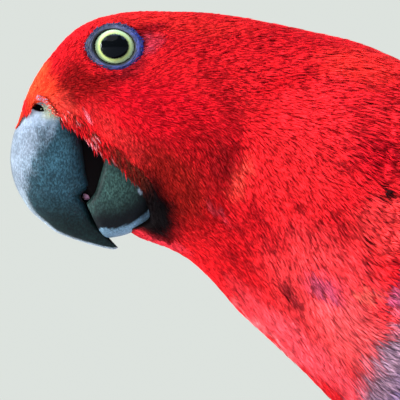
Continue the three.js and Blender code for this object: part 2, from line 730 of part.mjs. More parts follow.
function makeTail() {
  const { long, wide, high, drop, edge, thin } = TAIL_CORE;
  const core = plate(4, 4, (u, v, side) => {
    const round = Math.sin(Math.PI * lerp(edge, 1 - edge, u)) * lerp(1, thin, v);
    return tailPoint(lerp(0, long, v), lerp(-wide, wide, u), side * high * round - drop);
  });
  return behind(joined([core, ...tailVanes(TAIL_FEATHERS)]), TAIL_ROOT);
}

function makeRump(whole) {
  return joined([behind(whole, RUMP_FRONT), ...COVERT_SETS.flatMap(tailVanes)]);
}

// Assembly
const parts = new THREE.Group();

function addPart(name, solid, material) {
  const mesh = new THREE.Mesh(geometryOf(solid), material);
  mesh.name = name;
  parts.add(mesh);
}

function addPair(name, left, material) {
  addPart(`${name}_left`, left, material);
  addPart(`${name}_right`, left.mirror([0, 1, 0]), material);
}

const body = bodyLoft(0);
const leg = legTube();
const bill = makeBill();

addPart('head', makeHead(body), RED);
addPart('cere', bill.cere, CERE_CREAM);
addPart('bill_upper', bill.upper, BILL_BLACK);
addPart('bill_lower', bill.lower, BILL_BLACK);
addPart('tongue', makeTongue(bill.lower), TONGUE_PINK);
addPair('eye', eyeBall(-1), EYE_YELLOW);
addPair('eye_ring', eyeRing(-1), RING_BLUE);
addPart('neck', largestOf(ahead(behind(body, NAPE), NECK_BASE)), BREAST_RED);
addPart('torso', largestOf(ahead(behind(body, NECK_BASE), RUMP_FRONT)), VIOLET);
addPart('rump', makeRump(body), DEEP_RED);
addPart('tail', makeTail(), TAIL_RED);
addPair('wing', makeWing(), WING_RED);
addPair('thigh', largestOf(above(leg, ANKLE).subtract(bodyLoft(GAP))), VIOLET);
addPair('shank', largestOf(above(below(leg, ANKLE), INSTEP)), LEG_GREY);
addPair('foot', makeFoot(leg), LEG_GREY);
for (const toe of TOES) addPair(`claw_${toe.name}`, makeClaw(toe), CLAW_BLACK);

// The origin lies on the floor, under the middle of the bird's box.
const bounds = new THREE.Box3().setFromObject(parts);
parts.position.set(-(bounds.min.x + bounds.max.x) / 2, 0, EYE_HEIGHT);

const parrot = new THREE.Group();
parrot.add(parts);

export default parrot;
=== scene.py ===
# A life-size female eclectus parrot, standing on a pale studio floor.
import math
import bpy
import numpy as np
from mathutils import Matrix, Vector, noise


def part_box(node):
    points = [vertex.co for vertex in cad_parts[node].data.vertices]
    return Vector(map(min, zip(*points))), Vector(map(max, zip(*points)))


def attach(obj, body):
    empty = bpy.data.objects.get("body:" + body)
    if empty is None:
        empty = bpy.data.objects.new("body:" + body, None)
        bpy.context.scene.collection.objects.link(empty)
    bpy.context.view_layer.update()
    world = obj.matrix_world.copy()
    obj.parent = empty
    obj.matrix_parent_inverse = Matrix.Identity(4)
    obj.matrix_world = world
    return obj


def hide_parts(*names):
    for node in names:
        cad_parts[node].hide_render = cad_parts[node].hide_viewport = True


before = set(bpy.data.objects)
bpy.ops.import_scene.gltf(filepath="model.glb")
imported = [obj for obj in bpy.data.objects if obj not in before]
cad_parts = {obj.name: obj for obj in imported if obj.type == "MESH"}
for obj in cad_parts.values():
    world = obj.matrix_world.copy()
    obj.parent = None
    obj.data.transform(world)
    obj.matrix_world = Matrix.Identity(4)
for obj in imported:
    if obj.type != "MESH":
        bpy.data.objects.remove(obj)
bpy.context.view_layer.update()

mm = 0.001
dice = np.random.default_rng(11)
hands = (("left", -1), ("right", 1))

# Everything is laid out in millimetres. x runs back and z up from the centre of the left eye,
# and y runs to the bird's right from its middle plane.
eyeLow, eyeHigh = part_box("eye_left")
eyeHome = np.array([(eyeLow.x + eyeHigh.x) / 2, 0, (eyeLow.z + eyeHigh.z) / 2])
soleHeight = -eyeHome[2] / mm + 0.02  # feet and claws end just over the floor


def toRow(points):
    return np.asarray(points, float) * mm + eyeHome


def mix(a, b, share):
    return a + (b - a) * share


def smooth(value, low, high):
    share = np.clip((value - low) / (high - low), 0, 1)
    return share * share * (3 - 2 * share)


def unit(vectors):
    return vectors / np.maximum(np.linalg.norm(vectors, axis=-1, keepdims=True), 1e-9)


def dot(a, b):
    return (a * b).sum(-1)


# Places, angles and heights spread out to one shape
def together(*values):
    return np.broadcast_arrays(*(np.asarray(value, float) for value in values))


def turnsRound(count):
    return np.arange(count) * 2 * np.pi / count


# Directions in the side view, as degrees below level, going back
def heading(degrees):
    turn = np.radians(degrees)
    return np.stack([np.cos(turn), 0 * turn, -np.sin(turn)], -1)


# The cosine and sine of an angle, moved from a circle out to a superellipse
def onSuperellipse(tall, side, power):
    stretch = (np.abs(tall) ** power + np.abs(side) ** power) ** (-1 / power)
    return tall * stretch, side * stretch


# How far out places lie in a turned ellipse, which ends at 1
def ellipseReach(dx, dz, long, wide, turn):
    c, s = math.cos(math.radians(turn)), math.sin(math.radians(turn))
    return np.hypot((dx * c - dz * s) / long, (dx * s + dz * c) / wide)


# sRGB numbers from 0 to 255 as linear light
def linear(red, green, blue):
    value = np.array([red, green, blue], float) / 255
    return np.where(value <= 0.04045, value / 12.92, ((value + 0.055) / 1.055) ** 2.4)


# Colours turned towards an sRGB one, by a share for each of them
def tinted(colours, tint, share):
    return mix(colours, linear(*tint), share[..., None])


# A smooth curve through the rows of a table, one row for each whole number
def curveAt(rows, at):
    rows = np.asarray(rows, float)
    padded = np.vstack([2 * rows[0] - rows[1], rows, 2 * rows[-1] - rows[-2]])
    at = np.clip(at, 0, len(rows) - 1)
    first = np.minimum(at.astype(int), len(rows) - 2)
    t = (at - first)[..., None]
    p0, p1, p2, p3 = (padded[first + k] for k in range(4))
    return 0.5 * (2 * p1 + (p2 - p0) * t + (2 * p0 - 5 * p1 + 4 * p2 - p3) * t ** 2
                  + (3 * p1 - p0 - 3 * p2 + p3) * t ** 3)


# Meshes and pieces
def makeMesh(name, points, faces):
    mesh = bpy.data.meshes.new(name)
    points = np.asarray(points, np.float32).reshape(-1, 3)
    mesh.vertices.add(len(points))
    mesh.vertices.foreach_set("co", points.ravel())
    faces = [np.asarray(f, np.int32).reshape(len(f), -1) for f in faces if len(f)]
    corners = np.concatenate([f.ravel() for f in faces])
    sizes = np.concatenate([np.full(len(f), f.shape[1]) for f in faces])
    starts = np.concatenate([[0], np.cumsum(sizes)[:-1]]).astype(np.int32)
    mesh.loops.add(len(corners))
    mesh.loops.foreach_set("vertex_index", corners)
    mesh.polygons.add(len(sizes))
    mesh.polygons.foreach_set("loop_start", starts)
    mesh.update(calc_edges=True)
    mesh.shade_smooth()
    return mesh


def makePiece(name, points, faces, material, replaces=()):
    mesh = makeMesh(name, toRow(points), faces)
    mesh.materials.append(material)
    piece = bpy.data.objects.new(name, mesh)
    bpy.context.scene.collection.objects.link(piece)
    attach(piece, "root")
    if replaces:
        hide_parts(*replaces)
    return piece


def paintPoints(piece, name, values):
    values = np.asarray(values, np.float32)
    if values.ndim == 1:
        attribute = piece.data.attributes.new(name, "FLOAT", "POINT")
        attribute.data.foreach_set("value", values)
        return
    full = np.ones((len(values), 4), np.float32)
    full[:, :3] = values
    attribute = piece.data.attributes.new(name, "FLOAT_COLOR", "POINT")
    attribute.data.foreach_set("color", full.ravel())


def paintPlain(piece, colour):
    paintPoints(piece, "plumage", np.tile(linear(*colour), (len(piece.data.vertices), 1)))


def paintMap(piece, uv):
    corners = np.zeros(len(piece.data.loops), np.int32)
    piece.data.loops.foreach_get("vertex_index", corners)
    layer = piece.data.uv_layers.new(name="OFBake")
    layer.uv.foreach_set("vector", np.asarray(uv, np.float32)[corners].ravel())


# Faces of a stack of closed rings, with a fan at each end
def ringFaces(rings, around):
    i = np.arange(rings - 1)[:, None] * around
    j = np.arange(around)[None, :]
    k = (j + 1) % around
    sides = np.broadcast_arrays(i + j, i + around + j, i + around + k, i + k)
    end = (rings - 1) * around
    first = [np.full(around, rings * around), k[0], j[0]]
    last = [np.full(around, rings * around + 1), end + j[0], end + k[0]]
    return [np.stack(sides, -1).reshape(-1, 4), np.vstack([np.stack(first, -1), np.stack(last, -1)])]


def withCaps(grid):
    return np.vstack([grid.reshape(-1, 3), grid[0].mean(0), grid[-1].mean(0)])


def makeTube(name, grid, material, replaces=()):
    return makePiece(name, withCaps(grid), ringFaces(*grid.shape[:2]), material, replaces)


# Faces of a closed plate: a grid of points, the same grid behind it, and a wall round the rim
def plateFaces(rows, columns):
    i = (np.arange(rows - 1)[:, None] * columns + np.arange(columns - 1)).ravel()
    front = np.stack([i, i + 1, i + columns + 1, i + columns], -1)
    rim = np.concatenate([np.arange(columns), np.arange(1, rows) * columns + columns - 1,
                          (rows - 1) * columns + np.arange(columns - 2, -1, -1),
                          np.arange(rows - 2, 0, -1) * columns])
    after, behind = np.roll(rim, -1), rows * columns
    wall = np.stack([rim, rim + behind, after + behind, after], -1)
    return np.concatenate([front, front[:, ::-1] + behind, wall])


# Body: each rung is top x and z, bottom x and z, half width, and how far down it is widest
bodyRungs = [
    (-24.6, -17.5, 3.5, -47.3, 11, 0.5), (-21.5, -10, 7, -49, 14, 0.5),
    (-17, -3, 10.5, -50.2, 16.8, 0.52), (-9.4, 4.8, 15, -52, 18.5, 0.52),
    (1, 8.5, 20, -55.2, 19.5, 0.52), (13, 9, 25, -60, 20, 0.52),
    (26, 8.4, 31, -67, 21.5, 0.5), (38, 6.4, 38, -73.6, 26, 0.5),
    (50, 3.9, 47, -82, 33, 0.48), (62, 1, 57, -92, 39, 0.46),
    (76, -5, 68.5, -102, 40.5, 0.45), (92, -12.5, 81, -111, 41, 0.45),
    (110, -22.5, 95, -118.5, 40.5, 0.45), (128, -34, 111, -125.5, 38.5, 0.45),
    (146, -45.5, 129, -130.3, 35, 0.45), (163, -56.5, 149, -131.3, 30, 0.45),
    (179, -66.5, 169, -126.5, 25, 0.46), (193, -76, 187, -117, 20.5, 0.48),
    (206, -87, 203, -107, 14, 0.5),
]
bodyShape = {
    "headCrown": 2.9, "bodyCrown": 2.15, "keel": 1.95, "crownFrom": 15, "crownTo": 60,
    "orbitSide": 14.4, "orbitFrom": 4, "orbitTo": 9, "orbitStretch": 1.35, "orbitShare": 0.8,
    "cheekX": 10, "cheekZ": -25, "cheekLong": 21, "cheekHigh": 27, "cheekSwell": 3, "cheekLean": 0.4,
    "cheekFront": (0.3, 1.15), "cheekRear": (0.8, 1.08), "billHalf": 10.3, "billSlope": 3.2,
}

# Where the feathers end round the bill, from the forehead to the chin
featherEdge = np.array([
    (-25.3, -21.2), (-24.2, -19.4), (-22.5, -17), (-21.3, -14.9), (-20, -14), (-18.5, -14),
    (-17, -15.4), (-15.6, -17), (-13.9, -18.2), (-9.6, -20.5), (-7.6, -23), (-3.3, -26.5),
    (0.8, -29.6), (5, -33.4), (7, -36), (8.9, -40.3), (9.6, -44.8), (7, -46.4), (2.9, -48),
])


# How far a place lies in front of the edge of the feathers, on the bill's side
def beforeEdge(x, z):
    place = np.stack([x, z], -1)[..., None, :]
    start, run = featherEdge[:-1], np.diff(featherEdge, axis=0)
    along = np.clip(dot(place - start, run) / dot(run, run), 0, 1)
    away = place - (start + along[..., None] * run)
    distance = np.linalg.norm(away, axis=-1)
    nearest = distance.argmin(-1)[..., None]
    side = run[:, 1] * away[..., 0] - run[:, 0] * away[..., 1]
    pick = lambda values: np.take_along_axis(values, nearest, -1)[..., 0]
    return np.sign(pick(side)) * pick(distance)


def rungAt(rungs, at):
    row = curveAt(rungs, at)
    top, bottom, half, level = row[..., 0:2], row[..., 2:4], row[..., 4], row[..., 5]
    length = np.linalg.norm(top - bottom, axis=-1)
    centre = mix(top, bottom, level[..., None])
    return centre, (top - bottom) / length[..., None], half, level * length, (1 - level) * length


def cheekSwell(x, z):
    s = bodyShape
    across, up = (x - s["cheekX"]) / s["cheekLong"], (z - s["cheekZ"]) / s["cheekHigh"]
    reach = np.hypot(across, up)
    behind = smooth(across - s["cheekLean"] * up, -0.5, 0.5)
    front, rear = 1 - smooth(reach, *s["cheekFront"]), 1 - smooth(reach, *s["cheekRear"])
    return s["cheekSwell"] * mix(front, rear, behind)


# A point over the body. The angle runs round the middle of a rung: from the top, 0, down the
# left side to the bottom, 180, and up the right side.
def bodyPoint(at, angle, height=0.0, rungs=bodyRungs):
    s = bodyShape
    at, angle, height = together(at, angle, height)
    centre, up, half, above, below = rungAt(rungs, at)
    tall, side = np.cos(np.radians(angle)), np.sin(np.radians(angle))
    crown = mix(s["headCrown"], s["bodyCrown"], smooth(centre[..., 0], s["crownFrom"], s["crownTo"]))
    tall, side = onSuperellipse(tall, side, np.where(tall > 0, crown, s["keel"]))
    rise = tall * (np.where(tall > 0, above, below) + height)
    x, z = centre[..., 0] + up[..., 0] * rise, centre[..., 1] + up[..., 1] * rise
    share = np.abs(side)
    out = share * (half + height) + cheekSwell(x, z) * share ** 2
    near = 1 - smooth(np.hypot(x / s["orbitStretch"], z), s["orbitFrom"], s["orbitTo"])
    out = mix(out, s["orbitSide"] + height, s["orbitShare"] * near)
    return np.stack([x, -np.sign(side) * out, z], -1)


# Materials
def nodeTree(tree):
    def add(kind, inputs=None, **settings):
        node = tree.nodes.new(kind)
        for name, value in settings.items():
            setattr(node, name, value)
        for name, value in (inputs or {}).items():
            if isinstance(value, bpy.types.NodeSocket):
                tree.links.new(value, node.inputs[name])
            else:
                node.inputs[name].default_value = value
        return node

    return add, tree.links


def maths(add, operation, a, b=0.5):
    return add("ShaderNodeMath", {0: a, 1: b}, operation=operation).outputs[0]


def blendColours(add, share, a, b, kind="MIX"):
    node = add("ShaderNodeMix", {0: share, 6: a, 7: b}, data_type="RGBA", blend_type=kind)
    return node.outputs[2]


def rescaled(add, value, fromLow, fromHigh, toLow, toHigh, **settings):
    ends = {0: value, 1: fromLow, 2: fromHigh, 3: toLow, 4: toHigh}
    return add("ShaderNodeMapRange", ends, **settings).outputs[0]


# A colour made darker or brighter by a value
def shaded(add, colour, value, share=1.0):
    grey = add("ShaderNodeCombineColor", {0: value, 1: value, 2: value}).outputs[0]
    return blendColours(add, share, colour, grey, "MULTIPLY")


def bumpFrom(add, given, height):
    inputs = {"Strength": given["Strength"], "Distance": given["Depth"], "Height": height}
    return add("ShaderNodeBump", inputs).outputs[0]


def makeGroup(name, inputs, outputs):
    group = bpy.data.node_groups.new(name, "ShaderNodeTree")
    for label, (kind, value) in inputs.items():
        socket = group.interface.new_socket(label, in_out="INPUT", socket_type="NodeSocket" + kind)
        socket.default_value = value
    for label, kind in outputs.items():
        group.interface.new_socket(label, in_out="OUTPUT", socket_type="NodeSocket" + kind)
    add, links = nodeTree(group)
    source, target = add("NodeGroupInput"), add("NodeGroupOutput")
    return group, add, links, source.outputs, target.inputs


def newMaterial(name, sockets):
    material = bpy.data.materials.new(name)
    material.use_nodes = True
    add, links = nodeTree(material.node_tree)
    shader = material.node_tree.nodes["Principled BSDF"]
    for label, value in sockets.items():
        shader.inputs[label].default_value = value
    return material, add, links, shader.inputs


# Darkens a feather towards its root and varies it from barb to barb
def makeFeatherTone():
    group, add, links, given, out = makeGroup(
        "featherTone",
        {"Plumage": ("Color", (0.5, 0.1, 0.1, 1)), "Along": ("Float", 1.0), "Shade": ("Float", 0.5),
         "Root Dark": ("Float", 0.3), "Variation": ("Float", 0.3)},
        {"Color": "Color", "Roughness": "Float"})
    depth = rescaled(add, given["Along"], 0.0, 0.85, given["Root Dark"], 1.0,
                     interpolation_type="SMOOTHSTEP")
    swing = maths(add, "MULTIPLY", maths(add, "SUBTRACT", given["Shade"], 0.5), given["Variation"])
    tone = maths(add, "MULTIPLY", depth, maths(add, "ADD", swing, 1.0))
    links.new(shaded(add, given["Plumage"], tone), out["Color"])
    links.new(maths(add, "ADD", maths(add, "MULTIPLY", given["Shade"], 0.15), 0.55), out["Roughness"])
    return group


# Fine grain in the surface: a mask, and a normal roughened by it
def makeFineGrain():
    group, add, links, given, out = makeGroup(
        "fineGrain",
        {"Scale": ("Float", 900.0), "Stretch": ("Vector", (1, 1, 1)), "Depth": ("Float", 0.0001),
         "Strength": ("Float", 0.4), "Cells": ("Float", 0.0)},
        {"Mask": "Float", "Normal": "Vector"})
    place = add("ShaderNodeTexCoord").outputs["Object"]
    place = add("ShaderNodeVectorMath", {0: place, 1: given["Stretch"]}, operation="MULTIPLY").outputs[0]
    cloud = add("ShaderNodeTexNoise", {"Vector": place, "Scale": given["Scale"], "Detail": 5.0,
                                       "Roughness": 0.6}).outputs[0]
    cells = add("ShaderNodeTexVoronoi", {"Vector": place, "Scale": given["Scale"]}).outputs[0]
    mask = add("ShaderNodeMix", {0: given["Cells"], 2: cloud, 3: cells}).outputs[0]
    links.new(mask, out["Mask"])
    links.new(bumpFrom(add, given, mask), out["Normal"])
    return group


# Barbs of a vane: fine slanting lines, grouped into coarser locks
def makeBarbLines():
    group, add, links, given, out = makeGroup(
        "barbLines",
        {"Line": ("Float", 0.0), "Per Millimetre": ("Float", 1.6), "Depth": ("Float", 0.0001),
         "Strength": ("Float", 0.5)},
        {"Mask": "Float", "Normal": "Vector"})
    place = add("ShaderNodeTexCoord").outputs["Object"]
    wander = add("ShaderNodeTexNoise", {"Vector": place, "Scale": 90.0, "Detail": 2.0}).outputs[0]
    line = maths(add, "ADD", given["Line"], maths(add, "MULTIPLY", wander, 1.2))
    turns = maths(add, "MULTIPLY", maths(add, "MULTIPLY", line, given["Per Millimetre"]), 2 * math.pi)
    fine = maths(add, "SINE", turns)
    locks = add("ShaderNodeTexNoise", {"W": maths(add, "MULTIPLY", line, 0.55), "Scale": 1.0,
                                       "Detail": 2.0}, noise_dimensions="1D").outputs[0]
    mask = maths(add, "ADD", maths(add, "MULTIPLY", fine, 0.18), locks)
    links.new(mask, out["Mask"])
    links.new(bumpFrom(add, given, mask), out["Normal"])
    return group


featherTone = makeFeatherTone()
fineGrain = makeFineGrain()
barbLines = makeBarbLines()


def useGroup(add, group, **values):
    inputs = {label.replace("_", " "): value for label, value in values.items()}
    return add("ShaderNodeGroup", inputs, node_tree=group).outputs


def readAttribute(add, name, output="Fac"):
    return add("ShaderNodeAttribute", attribute_name=name).outputs[output]


def paintedColour(add):
    return readAttribute(add, "plumage", "Color")


# A painted surface, mottled and roughened by its grain
def makeMottledMaterial(name, s):
    material, add, links, into = newMaterial(name, s["shader"])
    grain = useGroup(add, fineGrain, **s["grain"])
    shade = rescaled(add, grain["Mask"], *s["mottle"])
    links.new(shaded(add, paintedColour(add), shade), into["Base Color"])
    links.new(grain["Normal"], into["Normal"])
    return material


# A surface whose grain mixes a dark and a pale colour
def makeTwoToneMaterial(name, s):
    material, add, links, into = newMaterial(name, s["shader"])
    grain = useGroup(add, fineGrain, **s["grain"])
    dark, pale = (*linear(*s["dark"]), 1), (*linear(*s["pale"]), 1)
    links.new(blendColours(add, grain["Mask"], dark, pale), into["Base Color"])
    links.new(grain["Normal"], into["Normal"])
    return material


coatLook = {"specular": 0.04, "rootDark": 0.7, "variation": 0.8}


def makeCoatMaterial():
    material, add, links, into = newMaterial("plumage", {"Specular IOR Level": coatLook["specular"]})
    tone = useGroup(add, featherTone, Plumage=paintedColour(add), Along=readAttribute(add, "along"),
                    Shade=readAttribute(add, "shade"), Root_Dark=coatLook["rootDark"],
                    Variation=coatLook["variation"])
    links.new(tone["Color"], into["Base Color"])
    links.new(tone["Roughness"], into["Roughness"])
    return material


# Plumage: the ground colour and the patches painted over it, by place in the side view.
# A pair with "Starts" or "Above" says over which stretch a colour comes in.
plumage = {
    "ground": (204, 21, 26), "mauve": (152, 112, 124), "violet": (80, 74, 136),
    "bellyEdge": ((59.5, -89.6), (72.5, -61)), "mauveStarts": (-1, 5), "violetStarts": (6, 20),
    "mantleBlue": (62, 46, 120), "mantleStarts": (80, 88), "mantleAbove": (10, 22),
    "backRed": (140, 20, 26), "backStarts": (104, 112), "backAbove": (6, 20),
    "tailRed": (176, 28, 24), "tailStarts": (168, 178), "cloudSize": 4.0, "patchRim": (0.45, 1.25),
}

# Each patch: x, z, reach along and across, turn below level, colour, strength. Some patches are painted
# light and shade, as the comments beside them say.
plumageLightAndShadePatches = [
    (14, 6, 24, 3.5, 3, (212, 34, 28), 0.7),
    (9.6, 5, 4.5, 1.5, -8, (136, 6, 16), 0.8),
    (-21, -8, 6, 11, -35, (242, 74, 36), 0.8),
    (2, -12, 8, 4, 10, (188, 12, 22), 0.7),
    (14, -17, 18, 9, 20, (200, 8, 24), 0.7),
    (-7, -9, 8, 4.8, 32, (122, 6, 5), 0.85),
    (-11.3, -12, 5, 2.4, 60, (120, 12, 8), 0.75),
    (1, -7.6, 6, 1.8, -8, (112, 4, 8), 0.8),
    (-13, -16, 6, 4, 30, (214, 62, 48), 0.6),
    (2, -24, 13, 3, 45, (200, 40, 36), 0.6),
    (46, -32, 14, 16, 45, (226, 34, 36), 0.75),
    # Painted shade: darker red where the lower cheek faces down
    (15, -36, 13, 9, 55, (130, 18, 9), 0.85),
    # Painted shade along the feathers' edge beside the gape
    (2.6, -30.4, 7, 2.2, 39, (104, 22, 14), 0.75),
    # Painted shadow: near black in the hollow behind the lower bill
    (10.8, -42.6, 10.8, 6, 70, (7, 2, 2), 1.0),
    (9.0, -45.6, 4.6, 1.4, -10, (7, 2, 2), 0.97),
    (12.4, -50.2, 8, 1.6, 20, (222, 48, 58), 0.85),
    # Painted light along the breast's lower edge
    (48, -77, 24, 4, 42, (250, 84, 90), 0.7),
    (22, -26, 9, 7, 60, (160, 10, 14), 0.7),
    (31, -50, 10, 5, 48, (186, 14, 20), 0.6),
    # Painted shadow at the rear edge of the cheek, then painted light on the neck's ridge behind it
    (27.6, -30.5, 3.4, 8, 22, (120, 8, 10), 0.7),
    (32.2, -34.2, 2.6, 6.4, 22, (218, 64, 48), 0.62),
    (56, -16, 18, 12, 15, (236, 34, 38), 0.8),
    # Painted light, then painted shade, across the fold of the mantle
    (62, -5, 12, 5, 10, (250, 46, 38), 0.9),
    (44, -9, 10, 2.4, -20, (186, 6, 14), 0.6),
    (66, -28, 6.5, 6, 0, (190, 8, 22), 0.7),
    (54, -62, 20, 13, 45, (244, 66, 66), 0.7),
    (68, -46, 9, 9, 20, (246, 66, 60), 0.5),
    (60, -74, 14, 8, 45, (244, 92, 90), 0.6),
    (9.4, 1.2, 2.6, 3.0, 20, (140, 52, 66), 0.7),
    (5.6, -4.8, 5.0, 1.9, -36, (120, 8, 16), 0.9),
    # Painted highlight: a pale pink line along the breast's outline
    (37.6, -72.6, 13, 0.8, 43, (252, 122, 122), 0.5),
]

# Chance marks between the feathers, on the left side alone
plumageMarks = [
    (53, -62, 6, 3.4, 30, (166, 66, 92), 0.75),
    (45, -64, 2.2, 5.5, -32, (96, 8, 16), 0.9),
    (68.9, -37.3, 2.8, 0.8, 10, (12, 2, 2), 1.0),
    (46, -40.5, 6, 1.3, 58, (140, 6, 14), 0.65),
    (27, -43.6, 3.2, 0.7, 36, (204, 60, 70), 0.5),
    (24.4, -41.6, 2.8, 0.6, 30, (190, 56, 64), 0.45),
    (71, -63.5, 3, 3.4, 0, (172, 92, 126), 0.5),
    (63.5, -63.6, 4, 2.2, -10, (222, 104, 84), 0.5),
    (-6.4, -18.4, 2.6, 0.4, 58, (255, 134, 140), 0.8),
    (38, -47, 11, 2.6, 52, (176, 10, 18), 0.6),
    (64, -21, 10, 2.4, 60, (176, 8, 18), 0.6),
]
# Dark strokes where the neck's feathers part, painted shade in the gaps: middle, half length and slope
partings = [
    (36.5, -43, 5, 54), (41, -39.5, 4.5, 58), (44.5, -46, 5.5, 58), (49, -43, 4, 55), (51.5, -51, 5, 52),
    (40, -53, 5.5, 52), (33.5, -48.5, 5, 50), (30, -55, 5.5, 48), (57, -45, 4.5, 46), (47, -56, 4, 54),
    (60, -27, 3.5, 25), (63.5, -30.5, 3.5, 25), (66, -25.5, 3, 22), (58, -31, 3.5, 28), (68, -33, 3, 20),
]
plumageMarks += [(x, z, long, 0.5, slope, (118, 4, 12), 0.65) for x, z, long, slope in partings]


def patchMask(x, z, patch):
    centreX, centreZ, long, wide, turn = patch[:5]
    reach = ellipseReach(x - centreX, z - centreZ, long, wide, turn)
    return (1 - smooth(reach, *plumage["patchRim"])) * patch[6]


def cloudiness(points, size):
    return np.array([noise.noise(Vector(p) / size) for p in points])


# Colours by place: the plumage, with light and shade painted into some of the patches
def plumageAt(points):
    s = plumage
    x, z, onLeft = points[:, 0], points[:, 2], points[:, 1] < 0
    ragged = cloudiness(points, s["cloudSize"])
    colour = np.tile(linear(*s["ground"]), (len(points), 1))
    for patch in plumageLightAndShadePatches + plumageMarks:
        share = patchMask(x + 1.5 * ragged, z + 1.5 * ragged, patch)
        if patch in plumageMarks:
            share = share * onLeft
        colour = tinted(colour, patch[5], share)
    # Violet belly and flanks begin behind a slanting edge across the breast
    (startX, startZ), (endX, endZ) = s["bellyEdge"]
    runX, runZ = endX - startX, endZ - startZ
    behind = ((x - startX) * runZ - (z - startZ) * runX) / math.hypot(runX, runZ)
    violet = tinted(linear(*s["mauve"]), s["violet"], smooth(behind, *s["violetStarts"]))
    colour = mix(colour, violet, smooth(behind + 2.5 * ragged, *s["mauveStarts"])[:, None])
    # A blue band across the mantle, and dark red behind it
    band = smooth(x + 3 * ragged, *s["mantleStarts"]) * smooth(z + 0.5 * x, *s["mantleAbove"])
    colour = tinted(colour, s["mantleBlue"], band)
    back = smooth(x + 3 * ragged, *s["backStarts"]) * smooth(z + 0.55 * x, *s["backAbove"])
    colour = tinted(colour, s["backRed"], back)
    under = smooth(x + 2 * ragged, *s["tailStarts"])
    return tinted(colour, s["tailRed"], under)


# Feathers: the lie of the coat by place in the side view, as degrees below level, going back
coatLie = [
    (-22, -10, -62), (-17, -3, -42), (-9, 5, -22), (2, 8.5, -5), (14, 9, 0), (28, 8, 6),
    (44, 5, 12), (60, 1, 18), (-15, -13, 5), (-18, -13, -30), (-10, -6, -12), (-8, 3, -30),
    (-2, -8, 6), (7, -7, -22), (11, -2, -16), (9, 5, -4), (20, 0, -8), (-13, -17, 62),
    (-8, -17, 52), (0, -19, 48), (10, -16, 12), (22, -12, 2), (-3, -22, 42), (5, -27, 58),
    (10, -27, 60), (14, -36, 62), (22, -28, 56), (30, -27, 55), (32, -12, 14), (43, -14, 22),
    (43, -29, 40), (57, -10, 18), (10, -45, 38), (15, -51, 32), (25, -57, 44), (41, -49, 52),
    (40, -72, 47), (53, -87, 47), (44, -65, 50), (57, -52, 42), (57, -30, 32), (67, -50, 20),
    (67, -68, 2), (67, -81, 14), (54, -81, 45), (70, -30, 22),
]
bodyLieStarts = (66, 84)  # further back, feathers lie along the body


def lieAt(points, pointAlong):
    guides = np.array(coatLie, float)
    x, z = points[:, 0], points[:, 2]
    away = (x[:, None] - guides[:, 0]) ** 2 + (z[:, None] - guides[:, 1]) ** 2
    weight = 1 / (away + 6) ** 2
    turn = np.radians(guides[:, 2])
    back, down = weight @ np.cos(turn), weight @ np.sin(turn)
    head = unit(np.stack([back, np.zeros_like(back), -down], -1))
    # Beside the bill the feathers turn out over its edge
    gap = beforeEdge(x, z)
    towards = np.stack([beforeEdge(x + 0.1, z) - gap, 0 * x, beforeEdge(x, z + 0.1) - gap], -1)
    near = smooth(gap, -5, 0) * smooth(x, -16, -12) * smooth(z, -44, -40)
    head = unit(head + unit(towards) * (0.6 * near)[:, None])
    return unit(mix(head, unit(pointAlong), smooth(x, *bodyLieStarts)[:, None]))


def lieAlong(points, pointAlong):
    return unit(pointAlong)


def surfaceFrame(place, a, b, stepA, stepB):
    point = place(a, b, 0)
    alongA = (place(a + stepA, b, 0) - place(a - stepA, b, 0)) / (2 * stepA)
    alongB = (place(a, b + stepB, 0) - place(a, b - stepB, 0)) / (2 * stepB)
    return point, alongA, alongB, unit(np.cross(alongB, alongA))


# How far each of a and b has to go for one millimetre in a direction along the surface
def stepsFor(direction, alongA, alongB):
    aa, ab, bb = dot(alongA, alongA), dot(alongA, alongB), dot(alongB, alongB)
    da, db = dot(direction, alongA), dot(direction, alongB)
    area = aa * bb - ab * ab
    return (da * bb - db * ab) / area, (db * aa - da * ab) / area


# Each feather is grown from barbs, and each barb is a slim closed sliver: a root, a ring of
# three, a tip. Lengths are in millimetres, and each kind of coat has changes of its own.
featherLook = {
    "barbs": 5, "stray": 6,  # how many, and the degrees by which feathers stray
    "firstBarb": 0.02, "lastBarb": 0.62, "barbShare": 0.5,  # where barbs start, and their length
    "shortest": 0.92, "widestAt": 0.45, "roundness": 0.42, "rootSpread": 0.04,
    "bend": 0.5, "rise": 0.5, "camber": 0.1,  # where a barb bends, and the feather's curves
    "ruffle": 0.1, "proud": 0.1, "sunk": 0.1,  # unevenness, and heights over the surface
    "width": 0.35, "barbWidth": 0.12, "thick": 0.1, "uneven": 0.2,
    "stepA": 0.02, "stepB": 0.6,  # how far to go to find the surface's slope
}
barbChance = {
    "feather": (0.8, 1.2), "reach": (0.75, 1.25), "spread": (0.1, 1), "width": (0.7, 1.3),
    "longest": 1.06, "ruffle": 0.6, "shade": 0.3,
}


